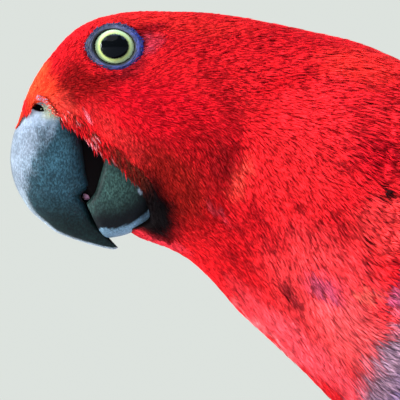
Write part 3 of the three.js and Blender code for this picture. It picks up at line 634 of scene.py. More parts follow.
def growBarbs(place, a, b, **changes):
    s, chance = {**featherLook, **changes}, barbChance
    point, alongA, alongB, normal = surfaceFrame(place, a, b, s["stepA"], s["stepB"])
    count, barbs = len(a), s["barbs"]
    each = (count, barbs)
    lie = s["lie"](point, alongA)
    lie = unit(lie - normal * dot(lie, normal)[:, None])
    turn = np.radians(dice.normal(0, s["stray"], count))[:, None]
    aside = np.cross(normal, lie)
    lie, aside = lie * np.cos(turn) + aside * np.sin(turn), aside * np.cos(turn) - lie * np.sin(turn)
    lieA, lieB = stepsFor(lie, alongA, alongB)
    sideA, sideB = stepsFor(aside, alongA, alongB)
    column = lambda value: np.broadcast_to(np.asarray(value, float), count)[:, None]
    length = column(s["length"]) * dice.uniform(*chance["feather"], (count, 1))
    half, depth = column(s["width"]) / 2, column(s["depth"])
    lift = dice.normal(0, s["ruffle"], (count, 1))

    # Barbs leave the shaft in turn, to the left and the right, and end on a rounded outline
    order = (np.arange(barbs) + dice.uniform(0, 1, each)) / barbs
    hand = np.where(np.arange(barbs) % 2, 1, -1) * np.ones((count, 1))
    start = length * mix(s["firstBarb"], s["lastBarb"], order)
    end = np.minimum(start + length * s["barbShare"] * dice.uniform(*chance["reach"], each),
                     length * dice.uniform(s["shortest"], chance["longest"], each))
    outline = np.sqrt(np.clip(1 - (end / length - s["widestAt"]) ** 2 / s["roundness"], 0, 1))
    spread = hand * half * outline * mix(1, dice.uniform(*chance["spread"], each), order)
    top = s["proud"] + lift + dice.normal(0, s["ruffle"] * chance["ruffle"], each)

    def placed(along, across, height):
        return place(a[:, None] + along * lieA[:, None] + across * sideA[:, None],
                     b[:, None] + along * lieB[:, None] + across * sideB[:, None], height)

    def heightAt(along, across):
        rise = np.clip(along / length, 0, 1.2) ** s["rise"]
        return -depth + (depth + top) * rise - s["camber"] * (across / half) ** 2

    thick = s["thick"]
    middle = mix(start, end, s["bend"])
    beside = spread * s["rootSpread"]
    offset = mix(beside, spread, s["bend"] ** 0.75)
    root = placed(start, beside, heightAt(start, 0) - s["sunk"] * (start < length * 0.3))
    belly = placed(middle, offset, heightAt(middle, offset) + thick * 0.3)
    tip = placed(end, spread, heightAt(end, spread))
    up = normal[:, None, :]
    side = unit(np.cross(up, unit(tip - root)))
    width = (column(s["barbWidth"]) * dice.uniform(*chance["width"], each) / 2)[..., None]
    ring = [belly - side * width, belly + side * width, belly + up * thick]
    faces = np.array([[0, 2, 1], [0, 3, 2], [0, 1, 3], [4, 1, 2], [4, 2, 3], [4, 3, 1]])
    shade = dice.normal(0.5, s["uneven"], (count, 1)) + dice.normal(0, chance["shade"], each)
    reach = np.stack([start / length, *[middle / length] * 3, end / length], -1)
    return {
        "points": np.stack([root, *ring, tip], -2).reshape(-1, 3),
        "faces": (np.arange(count * barbs)[:, None, None] * 5 + faces).reshape(-1, 3),
        "shade": np.repeat(np.clip(shade, 0, 1).ravel(), 5),
        "along": np.clip(reach, 0, 1).ravel(),
        "sideways": np.tile([0, -1, 1, 0, 0], count * barbs),
        "colourPlace": point + lie * (length * 0.75),
        "perFeather": barbs * 5,
    }


bakePatch = 0.003  # how much of the map a feather takes up


def finishCoat(name, grown, uv, colour, material):
    piece = makePiece(name, grown["points"], [grown["faces"]], material)
    paintPoints(piece, "plumage", np.repeat(colour, grown["perFeather"], axis=0))
    paintPoints(piece, "shade", grown["shade"])
    paintPoints(piece, "along", grown["along"])
    patch = np.stack([grown["along"] - 0.5, grown["sideways"] * 0.5], -1) * bakePatch
    paintMap(piece, np.repeat(uv, grown["perFeather"], axis=0) + patch)
    return piece


# Feather roots spread evenly over a surface, no two nearer than their spacing
def thinOut(points, spacing):
    cells, kept = {}, []
    size = spacing.max()
    keys = np.floor(points / size).astype(int)
    near = [(i, j, k) for i in (-1, 0, 1) for j in (-1, 0, 1) for k in (-1, 0, 1)]
    for index, (key, point, gap) in enumerate(zip(map(tuple, keys), points, spacing)):
        close = False
        for i, j, k in near:
            for other in cells.get((key[0] + i, key[1] + j, key[2] + k), ()):
                away = points[other] - point
                if away @ away < gap * gap:
                    close = True
                    break
            if close:
                break
        if not close:
            cells.setdefault(key, []).append(index)
            kept.append(index)
    return np.array(kept)


def scatterRoots(place, rangeA, rangeB, spacingAt, keep=None, cells=(80, 180), tries=5):
    edgeA, edgeB = np.linspace(*rangeA, cells[0] + 1), np.linspace(*rangeB, cells[1] + 1)
    grid = place(edgeA[:, None], edgeB[None, :], 0)
    across = np.cross(grid[1:, :-1] - grid[:-1, :-1], grid[:-1, 1:] - grid[:-1, :-1])
    middleA = np.repeat((edgeA[1:] + edgeA[:-1]) / 2, cells[1])
    weight = np.linalg.norm(across, axis=-1).ravel() / spacingAt(middleA) ** 2
    wanted = int(weight.sum() * tries)
    pick = dice.choice(weight.size, wanted, p=weight / weight.sum())
    a = edgeA[pick // cells[1]] + dice.uniform(0, 1, wanted) * (edgeA[1] - edgeA[0])
    b = edgeB[pick % cells[1]] + dice.uniform(0, 1, wanted) * (edgeB[1] - edgeB[0])
    points = place(a, b, 0)
    if keep:
        kept = keep(a, b, points)
        a, b, points = a[kept], b[kept], points[kept]
    chosen = thinOut(points, spacingAt(a) * 0.75)
    return a[chosen], b[chosen]


# Coat: how the feathers change from the bill, 0, to the tail, 18
coat = {
    "station":   [0, 0.6, 3, 6, 8, 10, 12, 15, 18],
    "length":    [3.0, 3.4, 4.4, 6.5, 9, 11, 12, 14, 14],
    "width":     [1.0, 1.05, 1.25, 1.7, 2.3, 3.4, 5.2, 8, 8.5],
    "depth":     [2.0, 1.0, 1.1, 1.6, 2.2, 2.6, 3, 3, 2.4],
    "spacing":   [0.7, 0.72, 0.8, 1.0, 1.25, 1.7, 2.6, 3.6, 4],
    "barbWidth": [0.13, 0.13, 0.15, 0.18, 0.22, 0.28, 0.4, 0.5, 0.5],
    "uneven":    [0.08, 0.08, 0.08, 0.1, 0.12, 0.16, 0.22, 0.25, 0.25],
}
coatTracts = [
    {"name": "coat_face", "from": 0.02, "to": 3, "barbs": 9},
    {"name": "coat_head", "from": 3, "to": 6, "barbs": 9},
    {"name": "coat_neck", "from": 6, "to": 7.8, "barbs": 12},
    {"name": "coat_shoulder", "from": 7.8, "to": 9.5, "barbs": 12},
    {"name": "coat_breast", "from": 9.5, "to": 12.5, "barbs": 16},
    {"name": "coat_body", "from": 12.5, "to": 17.6, "barbs": 22},
]
coatBarbs = {
    "stray": 6, "ruffle": 0.07, "lastBarb": 0.66, "shortest": 0.72, "rootSpread": 0.4, "proud": -0.2,
    "camber": 0.15, "sunk": 0.2,
}
coatTint = {"cloud": 0.16, "cloudSize": 9.0, "chance": (0.94, 1.06)}
eyeRing = {"stretch": 1.18, "inner": 4.35, "outer": 5.95, "low": 0.6}


def coatAt(label, at):
    return np.interp(at, coat["station"], coat[label])


# How far out a place lies from the middle of the ring round the eye
def ringReach(x, z):
    return np.hypot(x / eyeRing["stretch"], z + eyeRing["low"])


def outsideRing(points):
    return ringReach(points[:, 0], points[:, 2]) - eyeRing["outer"]


# Draws points in to a half width, by a share
def narrowed(points, half, share):
    side = np.abs(points[..., 1])
    points[..., 1] = np.sign(points[..., 1]) * mix(side, np.minimum(side, half), share)
    return points


# The face slopes down to the bill's base
def featheredPoint(at, angle, height=0.0):
    points = bodyPoint(at, angle, height)
    slope = smooth(beforeEdge(points[..., 0], points[..., 2]), -bodyShape["billSlope"], 0.4)
    return narrowed(points, bodyShape["billHalf"] + height, slope)


skinLook = {
    "rings": 210, "around": 140, "mouthHalf": 5.0, "socketHalf": 11.5,
    "mouthAhead": (-0.727, 0, -0.686), "mouthDeep": 5.5, "mouthRings": [80, 65, 50, 35, 18],
    "mouth": (7, 4, 4), "aroundEye": (90, 6, 12), "aroundEyeEnds": (6.4, 7.6),
    "lid": (12, 12, 14), "lidEnds": (4.8, 5.9), "roughness": 0.8, "specular": 0.05,
}


# Under the feathers the skin is narrower within the bill, and sunk behind the eye's ball
def skinPoint(at, angle):
    points = featheredPoint(at, angle, -coatAt("depth", at))
    within = smooth(beforeEdge(points[..., 0], points[..., 2]), -0.8, 1.0)
    points = narrowed(points, skinLook["mouthHalf"], within)
    sunk = 1 - smooth(ringReach(points[..., 0], points[..., 2]), eyeRing["inner"], eyeRing["outer"])
    return narrowed(points, skinLook["socketHalf"], sunk)


def bodyMap(at, angle):
    return np.stack([0.01 + 0.98 * at / (len(bodyRungs) - 1), 0.01 + 0.98 * angle / 360], -1)


def makeSkin():
    s = skinLook
    at = np.linspace(0, len(bodyRungs) - 1, s["rings"])
    angle = np.arange(s["around"]) * 360 / s["around"]
    grid = skinPoint(at[:, None], angle[None, :])
    material, add, links, into = newMaterial(
        "skin", {"Roughness": s["roughness"], "Specular IOR Level": s["specular"]})
    links.new(paintedColour(add), into["Base Color"])
    # The mouth's inside bulges forward from the face, thinner towards its middle
    centre = grid[0].mean(0)
    mouth = []
    for turn in np.radians(s["mouthRings"]):
        thin = [1, mix(1, 0.05, smooth(turn, 0, 0.45)), 1]
        ring = centre + (grid[0] - centre) * thin * math.cos(turn)
        mouth.append(ring + np.array(s["mouthAhead"]) * s["mouthDeep"] * math.sin(turn))
    at = np.concatenate([np.zeros(len(mouth)), at])
    grid = np.concatenate([mouth, grid])
    skin = makeTube("skin", grid, material, ("head", "neck", "torso", "rump"))
    points = withCaps(grid)
    colour = plumageAt(points) * 0.95
    bare = smooth(beforeEdge(points[:, 0], points[:, 2]), 0, 0.8)
    colour = tinted(colour, s["mouth"], bare)
    reach = ringReach(points[:, 0], points[:, 2])
    colour = tinted(colour, s["aroundEye"], 1 - smooth(reach, *s["aroundEyeEnds"]))
    colour = tinted(colour, s["lid"], 1 - smooth(reach, *s["lidEnds"]))
    paintPoints(skin, "plumage", colour)
    uv = bodyMap(*(v.ravel() for v in np.broadcast_arrays(at[:, None], angle[None, :])))
    paintMap(skin, np.vstack([uv, [[0.005, 0.5], [0.995, 0.5]]]))


# The wings lie over this part of the body, which has no coat of its own
underWing = {"from": 9.9, "to": 16.5, "top": 22, "bottom": 103}


# Roots stay behind the edge beside the bill and reach over it at the forehead and the chin.
# They begin under the rim of the ring round the eye.
def feathered(at, angle, points):
    x, z = points[:, 0], points[:, 2]
    beside = np.interp(x, [-16, -13, 8, 10], [0.1, -0.9, -0.9, 0.1])
    clear = beforeEdge(x, z) < np.where(z < -45.8, 0.3, beside)
    offRing = ringReach(x, z) > eyeRing["outer"] - np.where(x < 0.5, 0.3, 0.9)
    s, folded = underWing, np.minimum(angle, 360 - angle)
    hidden = (at > s["from"]) & (at < s["to"]) & (folded > s["top"]) & (folded < s["bottom"])
    return clear & offRing & ~hidden


def makeCoat(tract, material):
    a, b = scatterRoots(featheredPoint, (tract["from"], tract["to"]), (0, 360),
                        lambda at: coatAt("spacing", at), feathered)
    s = {label: coatAt(label, a) for label in ("length", "width", "depth", "barbWidth", "uneven")}
    s["uneven"] = s["uneven"][:, None]
    # Feathers in front of the eye are short enough to leave its ring clear
    steps = featherLook["stepA"], featherLook["stepB"]
    root, alongA, alongB, normal = surfaceFrame(featheredPoint, a, b, *steps)
    tip = root + lieAt(root, alongA) * s["length"][:, None]
    start, end = outsideRing(root), outsideRing(tip)
    short = np.clip(start / np.maximum(start - end, 1e-6), 0.3, 1)
    s["length"] = np.where(end < 0, s["length"] * short, s["length"])
    for hand, side in (("left", b < 180), ("right", b >= 180)):
        own = {label: values[side] for label, values in s.items()}
        grown = growBarbs(featheredPoint, a[side], b[side], **coatBarbs, **own, lie=lieAt,
                          barbs=tract["barbs"])
        colour = plumageAt(grown["colourPlace"])
        cloud = 1 + coatTint["cloud"] * cloudiness(grown["colourPlace"] + 50, coatTint["cloudSize"])[:, None]
        colour = colour * cloud * dice.uniform(*coatTint["chance"], (side.sum(), 1))
        piece = finishCoat(f"{tract['name']}_{hand}", grown, bodyMap(a[side], b[side]), colour,
                           material)
        print(piece.name, side.sum(), "feathers,", len(grown["faces"]), "triangles")


# Bill: ridge x and z, cutting edge x and z, half width. All rungs of one half are widest at the
# same share of the way down.
upperBillRungs = [
    (-21.3, -13.7, -7.8, -16.7, 10), (-24.3, -19.9, -9.7, -20.2, 10.4),
    (-25.6, -21.8, -8.9, -22.1, 10.5), (-26.4, -25.7, -8.1, -25.7, 10.3),
    (-26.6, -28.9, -7.7, -29.2, 9.9), (-26.2, -32.2, -7.2, -32.2, 9.3),
    (-25.6, -34.4, -6.6, -34.6, 8.8), (-24.8, -36.4, -6.8, -35.9, 8.2),
    (-23.6, -38.6, -8.6, -37.9, 7.6), (-21.4, -41.8, -7.6, -39.9, 6.6),
    (-18.1, -44.7, -6.5, -41.8, 5.2), (-14.6, -47.3, -5.2, -44.4, 3.9),
    (-9.7, -49.2, -3.3, -46.7, 2.6), (-5.1, -50.6, -1.1, -49.1, 1.5),
    (-0.8, -51.5, 0.3, -50.6, 0.6), (0.5, -51.3, 0.7, -51, 0.15),
]
lowerBillRungs = [
    (-0.8, -25.8, 10.9, -42, 10.5), (-2.6, -26.3, 9.4, -44.1, 10.3),
    (-3.5, -29.9, 6.3, -46.1, 9.9), (-4.3, -33.2, 3.2, -47.6, 9.3),
    (-5.1, -36.3, 0, -48.4, 8.6), (-6.3, -38.2, -2.4, -48.4, 7.8),
    (-7.3, -39.6, -4.3, -46.4, 6.6),
]
# Each half's power is given above and below its widest place
billShape = {
    "upperWidest": 0.72, "upperPower": (1.9, 3.2), "growthLines": 0.0015,
    "lowerWidest": 0.25, "lowerPower": (4, 2.8), "scoopPower": (4, 2.6), "wall": 2.6, "sideWall": 1.3,
}
upperBill = [(*rung, billShape["upperWidest"]) for rung in upperBillRungs]
lowerBill = [(*rung, billShape["lowerWidest"]) for rung in lowerBillRungs]


def billGrid(rungs, power, rings, around, first=0, last=None):
    at = np.linspace(first, last or len(rungs) - 1, rings)[:, None]
    return billPoint(rungs, power, at, turnsRound(around)[None, :])


def billPoint(rungs, power, at, turn):
    centre, up, half, above, below = rungAt(rungs, at + 0 * turn)
    tall, side = np.cos(turn) + 0 * at, np.sin(turn) + 0 * at
    tall, side = onSuperellipse(tall, side, np.where(tall > 0, *power))
    rise = tall * np.where(tall > 0, above, below)
    return np.stack([centre[..., 0] + up[..., 0] * rise, -side * half,
                     centre[..., 1] + up[..., 1] * rise], -1)


def makeBillMaterial():
    material, add, links, into = newMaterial("bill", {"Specular IOR Level": 0.07})
    place = add("ShaderNodeTexCoord").outputs["Object"]
    grain = useGroup(add, fineGrain, Scale=2300.0, Stretch=(1, 1, 0.6), Depth=0.00004, Strength=0.4)
    cloud = add("ShaderNodeTexNoise", {"Vector": place, "Scale": 160.0, "Detail": 4.0}).outputs[0]
    ramp = add("ShaderNodeValToRGB", {0: cloud})
    for stop, position, level in zip(ramp.color_ramp.elements, (0.35, 0.7), (0.7, 1.25)):
        stop.position = position
        stop.color = (level, level, level, 1)
    colour = blendColours(add, 1.0, paintedColour(add), ramp.outputs[0], "MULTIPLY")
    speckle = rescaled(add, grain["Mask"], 0.42, 0.66, 0.65, 2.4)
    # The painted highlight's pale paint is speckled less than the dark horn
    tint = add("ShaderNodeSeparateColor", {0: paintedColour(add)}).outputs["Green"]
    share = rescaled(add, tint, 0.03, 0.13, 1.0, 0.4)
    links.new(shaded(add, colour, speckle, share), into["Base Color"])
    rough = maths(add, "ADD", maths(add, "MULTIPLY", grain["Mask"], 0.2), 0.42)
    links.new(rough, into["Roughness"])
    links.new(grain["Normal"], into["Normal"])
    return material


horn = {
    "upper": (22, 41, 46), "upperTip": (6, 16, 14), "tipStarts": (-34, -46),
    # The pale colours and widths of the painted highlight along the bill's front; the first pale colour is
    # also the scuff's
    "pale": (106, 112, 119), "thinHighlight": (122, 129, 132), "rimStarts": (-34, -41),
    "paleDown": [-52, -46, -42, -38, -35, -30, -25, -20],
    "paleWide": [0.6, 0.75, 1.0, 2.2, 4.6, 8.4, 10.5, 11],
    "mottle": 0.3, "ridgeDark": 0.65,
    # The lower bill's horn, with a pale rim along its bottom that is a painted reflection
    "lower": (25, 40, 35), "lowest": (2, 3, 3), "lowestStarts": (9.5, 4), "rim": (78, 98, 108),
    "underLip": 0.4, "scuff": {"x": 6.4, "z": -36.5, "long": 0.6, "high": 1.2},
}


# How far points lie from a curve through rungs, seen from the side
def awayFrom(rungs, last, count, points):
    curve = curveAt(rungs, np.linspace(0, last, count))
    return np.linalg.norm(points[:, None, [0, 2]] - curve[None], axis=-1).min(1)


# Dark horn with a painted highlight by the front of the bill: a pale reflection in a broad patch above that
# narrows to a thin line
def hornColour(points):
    z = points[:, 2]
    away = awayFrom([rung[:2] for rung in upperBill], len(upperBill) - 1, 120, points)
    wide = np.interp(z, horn["paleDown"], horn["paleWide"])
    colour = tinted(linear(*horn["upper"]), horn["upperTip"], smooth(z, *horn["tipStarts"]))
    mottle = horn["mottle"] * cloudiness(points * [1, 1, 0.4], 1.6) * smooth(z, -42, -34)
    share = 1 - smooth(away / wide + mottle, 0.05, 1.0)
    # The painted highlight stays off the ridge itself, which is dark down to where the pale patch thins out
    ridge = horn["ridgeDark"] * smooth(np.abs(points[:, 1]), 1.7, 0.7)
    share = share * (1 - ridge * smooth(z, -38, -33) * smooth(z, -20, -23))
    pale = tinted(linear(*horn["pale"]), horn["thinHighlight"], smooth(z, *horn["rimStarts"]))
    return mix(colour, pale, share[:, None])


# Darker downwards and under the lip, with a painted reflection as a pale rim along the bottom, and one scuff
def lowerHornColour(points):
    bottom = awayFrom([rung[2:4] for rung in lowerBill], 5.2, 60, points)
    lip = awayFrom([rung[:2] for rung in lowerBill], 5, 60, points)
    low = smooth(bottom, *horn["lowestStarts"])
    colour = tinted(linear(*horn["lower"]), horn["lowest"], low)
    colour = colour * mix(horn["underLip"], 1, smooth(lip, 1.2, 2.6))[:, None]
    colour = tinted(colour, horn["rim"], 1 - smooth(bottom, 1.9, 2.3))
    s = horn["scuff"]
    scuff = np.hypot((points[:, 0] - s["x"]) / s["long"], (points[:, 2] - s["z"]) / s["high"])
    return tinted(colour, horn["pale"], 1 - smooth(scuff, 0.6, 1.1))


def makeBill(material):
    s = billShape
    grid = billGrid(upperBill, s["upperPower"], 180, 80, first=0.75)
    growth = cloudiness(grid.reshape(-1, 3) * [0.2, 0.2, 1.4], 1.0).reshape(grid.shape[:2])
    middle = grid.mean(1, keepdims=True)
    grid = middle + (grid - middle) * (1 + s["growthLines"] * growth[..., None])
    upper = makeTube("bill_upper_horn", grid, material, ("bill_upper",))
    paintPoints(upper, "plumage", hornColour(withCaps(grid)))

    outer = billGrid(lowerBill, s["lowerPower"], 140, 96)
    lower = makeTube("bill_lower_horn", outer, material, ("bill_lower",))
    scoop = []
    for lipX, lipZ, lowX, lowZ, half, widest in lowerBill:
        length = math.hypot(lipX - lowX, lipZ - lowZ)
        upX, upZ = np.array([lipX - lowX, lipZ - lowZ]) / length * s["wall"]
        scoop.append((lipX + upX, lipZ + upZ, lowX + upX, lowZ + upZ, half - s["sideWall"], widest))
    inner = billGrid(scoop, s["scoopPower"], 60, 48)
    carve(lower, withCaps(inner), ringFaces(*inner.shape[:2]))
    place = np.array([v.co for v in lower.data.vertices])
    paintPoints(lower, "plumage", lowerHornColour((place - eyeHome) / mm))


# Cuts a closed form out of a piece
def carve(piece, points, faces):
    mesh = makeMesh("tool", toRow(points), faces)
    tool = bpy.data.objects.new("tool", mesh)
    bpy.context.scene.collection.objects.link(tool)
    cut = piece.modifiers.new("cut", "BOOLEAN")
    cut.operation, cut.object, cut.solver = "DIFFERENCE", tool, "EXACT"
    bpy.context.view_layer.update()
    evaluated = piece.evaluated_get(bpy.context.evaluated_depsgraph_get())
    carved = bpy.data.meshes.new_from_object(evaluated)
    piece.modifiers.clear()
    piece.data = carved
    bpy.data.objects.remove(tool)
    carved.shade_smooth()
    carved.set_sharp_from_angle(angle=math.radians(50))


# Eye: a round ball with the lids' dark line, the iris and the pupil drawn by place
eyeball = {
    "radius": 5.98, "rings": 60, "around": 72, "stretch": 1.16, "low": 0.00035, "streaks": 0.0003,
    "stops": [(0.0, (2, 3, 4)), (0.6, (3, 4, 5)), (0.635, (104, 112, 70)), (0.67, (146, 152, 84)),
              (0.77, (156, 170, 116)), (0.84, (156, 170, 130)), (0.862, (20, 20, 20)), (1.0, (6, 6, 7))],
    "shader": {"Roughness": 0.3, "Coat Weight": 0.4, "Coat Roughness": 0.015, "Coat IOR": 1.2,
               "Specular IOR Level": 0.0},
}


def makeEyeMaterial():
    s = eyeball
    material, add, links, into = newMaterial("eye", s["shader"])
    place = add("ShaderNodeTexCoord").outputs["Object"]
    parts = add("ShaderNodeSeparateXYZ", {0: place}).outputs
    across, up = maths(add, "DIVIDE", parts[0], s["stretch"]), maths(add, "ADD", parts[2], s["low"])
    flat = add("ShaderNodeCombineXYZ", {0: across, 2: up}).outputs[0]
    reach = add("ShaderNodeVectorMath", {0: flat}, operation="LENGTH").outputs["Value"]
    streak = add("ShaderNodeTexNoise", {"Vector": place, "Scale": 2600.0, "Detail": 3.0}).outputs[0]
    streak = maths(add, "MULTIPLY", maths(add, "SUBTRACT", streak, 0.5), s["streaks"])
    reach = maths(add, "ADD", reach, streak)
    ramp = add("ShaderNodeValToRGB", {0: maths(add, "MULTIPLY", reach, 200.0)})
    elements = ramp.color_ramp.elements
    first, *between, last = [(position, (*linear(*colour), 1)) for position, colour in s["stops"]]
    elements[0].color, elements[1].color = first[1], last[1]
    for position, colour in between:
        elements.new(position).color = colour
    links.new(ramp.outputs[0], into["Base Color"])
    return material


def makeEyes(material):
    s = eyeball
    polar = np.linspace(0, np.pi, s["rings"] + 2)[1:-1, None]
    turn = turnsRound(s["around"])[None, :]
    ball = s["radius"] * np.stack(np.broadcast_arrays(
        np.sin(polar) * np.cos(turn), np.sin(polar) * np.sin(turn), np.cos(polar)), -1)
    points = np.vstack([ball.reshape(-1, 3), [[0, 0, s["radius"]], [0, 0, -s["radius"]]]])
    for hand, side in hands:
        low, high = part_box(f"eye_{hand}")
        mesh = makeMesh(f"eyeball_{hand}", points * mm, ringFaces(s["rings"], s["around"]))
        mesh.materials.append(material)
        piece = bpy.data.objects.new(f"eyeball_{hand}", mesh)
        piece.location = (low + high) / 2
        bpy.context.scene.collection.objects.link(piece)
        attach(piece, "root")
        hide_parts(f"eye_{hand}")


# The ring round an eye: its section from the lid outwards, as radius and distance from the
# middle, and where its outline bulges, as size, place and width in degrees
ringLook = {
    "section": [
        (4.2, 13.2), (4.2, 14.0), (4.3, 14.65), (4.55, 14.95), (4.9, 15.05), (5.3, 14.95), (5.7, 14.7),
        (6.0, 14.3), (6.15, 13.8), (6.15, 12.6),
    ],
    "rings": 44, "around": 200, "lid": (0.1, 140, 70), "wrinkles": 0.14,
    "corners": [(0.05, 170, 26), (0.035, 255, 24), (0.03, 12, 26)],
    "grey": (54, 53, 66), "blue": (37, 43, 82), "front": (23, 27, 42), "lidEdge": (12, 12, 14),
    "shader": {"Roughness": 0.6, "Specular IOR Level": 0.3}, "mottle": (0.2, 0.7, 0.55, 1.15),
    "grain": {"Scale": 2200.0, "Depth": 0.00012, "Strength": 0.8, "Cells": 0.7},
}


def makeEyeRings(material):
    s = ringLook
    turn = turnsRound(s["around"])
    section = curveAt(s["section"], np.linspace(0, len(s["section"]) - 1, s["rings"]))
    radius, out = section[:, 0][:, None], section[:, 1][:, None]

    def bulge(size, degrees, wide):
        away = np.cos(turn - math.radians(degrees))
        return size * smooth(away, math.cos(math.radians(wide)), 1)

    lid = bulge(*s["lid"])[None, :] * (1 - smooth(radius, 4.2, 5.4))
    corners = sum(bulge(*corner) for corner in s["corners"]) - 0.02
    corners = 1 + corners[None, :] * smooth(radius, 5, 6) + lid
    x = radius * eyeRing["stretch"] * corners * np.cos(turn)[None, :]
    z = radius * (1 + lid) * np.sin(turn)[None, :] - eyeRing["low"]
    i = np.arange(s["rings"])[:, None] * s["around"]
    i2 = np.roll(i, -1, axis=0)
    j = np.arange(s["around"])[None, :]
    k = (j + 1) % s["around"]
    for hand, side in hands:
        grid = np.stack([x, side * out + 0 * x, z], -1)
        rolled = np.stack([turn[None, :] * 9 + 0 * radius, radius * 6 + 0 * x, side + 0 * x], -1)
        wrinkles = cloudiness(rolled.reshape(-1, 3), 1.6)
        rough = side * s["wrinkles"] * wrinkles.reshape(grid.shape[:2])
        grid[..., 1] += rough * smooth(radius, 4.4, 4.8)
        order = (i + j, i + k, i2 + k, i2 + j) if side < 0 else (i + j, i2 + j, i2 + k, i + k)
        quads = np.stack(np.broadcast_arrays(*order), -1).reshape(-1, 4)
        place = grid.reshape(-1, 3)
        piece = makePiece(f"eye_ring_skin_{hand}", place, [quads], material,
                          (f"eye_ring_{hand}",))
        behind = smooth(place[:, 0] - 0.8 * place[:, 2] + 2 * wrinkles, -3, 5)
        colour = tinted(linear(*s["grey"]), s["blue"], behind)
        front = smooth(place[:, 0] - 0.5 * place[:, 2], -2.5, -5.5)
        colour = tinted(colour, s["front"], front)
        colour = colour * (1 + 1.2 * np.clip(wrinkles, -0.6, 0.9))[:, None]
        inner = 1 - smooth(np.repeat(section[:, 0], s["around"]), 4.5, 4.8)
        paintPoints(piece, "plumage", tinted(colour, s["lidEdge"], inner))


# Camera: level with the bird, in the photograph's frame
camera = {"frameWidth": 101.3, "lens": 700, "sensor": 36, "x": 21.5, "z": -39.0, "plane": -3}


def makeCamera():
    data = bpy.data.cameras.new("camera")
    data.lens, data.sensor_width = camera["lens"], camera["sensor"]
    away = camera["frameWidth"] * camera["lens"] / camera["sensor"]
    piece = bpy.data.objects.new("camera", data)
    piece.location = toRow((camera["x"], camera["plane"] - away, camera["z"]))
    piece.rotation_euler = (math.radians(90), 0, 0)
    bpy.context.scene.collection.objects.link(piece)
    bpy.context.scene.camera = piece


# Lights: direction from the bird, distance and size in metres, power and colour
lights = {
    "key": {"from": (-0.35, -0.62, 0.7), "away": 1.3, "wide": 1.7, "deep": 1.1, "power": 21.5,
            "colour": (0.94, 0.96, 1.0)},
    "sky": {"from": (0.1, -0.55, 0.83), "away": 1.2, "wide": 1.2, "deep": 0.24, "power": 18,
            "colour": (0.25, 0.42, 1.0)},
    "skyLeft": {"from": (-0.75, -0.45, 0.55), "away": 1.2, "wide": 0.5, "deep": 0.5, "power": 8,
                "colour": (0.5, 0.75, 1.0)},
    "skyRight": {"from": (0.6, -0.5, 0.65), "away": 1.2, "wide": 0.5, "deep": 0.5, "power": 8,
                 "colour": (0.32, 0.5, 1.0)},
    "front": {"from": (-0.95, -0.3, 0.06), "away": 1.0, "wide": 0.18, "deep": 0.34, "power": 17,
              "colour": (0.88, 0.95, 1.0)},
    "back": {"from": (0.7, 0.8, 0.6), "away": 1.3, "wide": 0.9, "deep": 0.9, "power": 12,
             "colour": (1.0, 0.99, 0.96)},
}
studio = {
    "floor": (0.75, 0.75, 0.73), "floorSize": 5.0, "aim": (60, 0, -60),
    "world": (0.85, 0.9, 0.86), "worldPower": 0.85,
}


def makeLights():
    target = Vector(toRow(studio["aim"]))
    for name, s in lights.items():
        data = bpy.data.lights.new(name, "AREA")
        data.shape, data.size, data.size_y = "ELLIPSE", s["wide"], s["deep"]
        data.energy, data.color = s["power"], s["colour"]
        piece = bpy.data.objects.new(name, data)
        direction = Vector(s["from"]).normalized()
        piece.location = target + direction * s["away"]
        piece.rotation_euler = direction.to_track_quat("Z", "Y").to_euler()
        piece.visible_camera = False
        bpy.context.scene.collection.objects.link(piece)


def makeStudio():
    world = bpy.data.worlds.new("world")
    bpy.context.scene.world = world
    world.use_nodes = True
    shade = world.node_tree.nodes["Background"]
    shade.inputs["Color"].default_value = (*studio["world"], 1)
    shade.inputs["Strength"].default_value = studio["worldPower"]
    size = studio["floorSize"] / 2
    corners = [(-size, -size, 0), (size, -size, 0), (size, size, 0), (-size, size, 0)]
    mesh = bpy.data.meshes.new("floor")
    mesh.from_pydata(corners, [], [(0, 1, 2, 3)])
    material, add, links, into = newMaterial("floor", {"Roughness": 0.7})
    into["Base Color"].default_value = (*studio["floor"], 1)
    mesh.materials.append(material)
    floor = bpy.data.objects.new("floor", mesh)
    bpy.context.scene.collection.objects.link(floor)
    bpy.context.scene.view_settings.view_transform = "Standard"


# Wings: laid out over a bed that follows the body's side and runs on past the rump.
# Places on it are s, millimetres from the shoulder, and the angle down from the top.
wingBedRungs = bodyRungs[9:15] + [
    (163, -55.5, 149, -130.3, 30.8, 0.45), (179, -65, 168, -125, 28, 0.45),
    (194, -72, 183, -120, 24, 0.45), (214, -81, 203, -119, 19, 0.45),
    (243, -94.5, 230, -133, 15, 0.45), (267, -108, 253, -147, 12, 0.45),
    (291, -123, 277, -162, 10, 0.45),
]
bedAt = np.linspace(0, len(wingBedRungs) - 1, 400)
bedSteps = np.linalg.norm(np.diff(rungAt(wingBedRungs, bedAt)[0], axis=0), axis=1)
bedLengths = np.concatenate([[0], np.cumsum(bedSteps)])


def bedPoint(s, angle, height=0.0):
    return bodyPoint(np.interp(s, bedLengths, bedAt), angle, height, wingBedRungs)


# How far a wing stands out from its bed
def wingSwell(s, angle):
    across = np.clip((angle - 62) / 52, -1, 1)
    return (1 - across ** 4) * (3.0 * smooth(s, 4, 30) - 1.4 * smooth(s, 30, 90)) - 0.9


def wingPoint(s, angle, height=0.0):
    return bedPoint(s, angle, wingSwell(s, angle) + height)


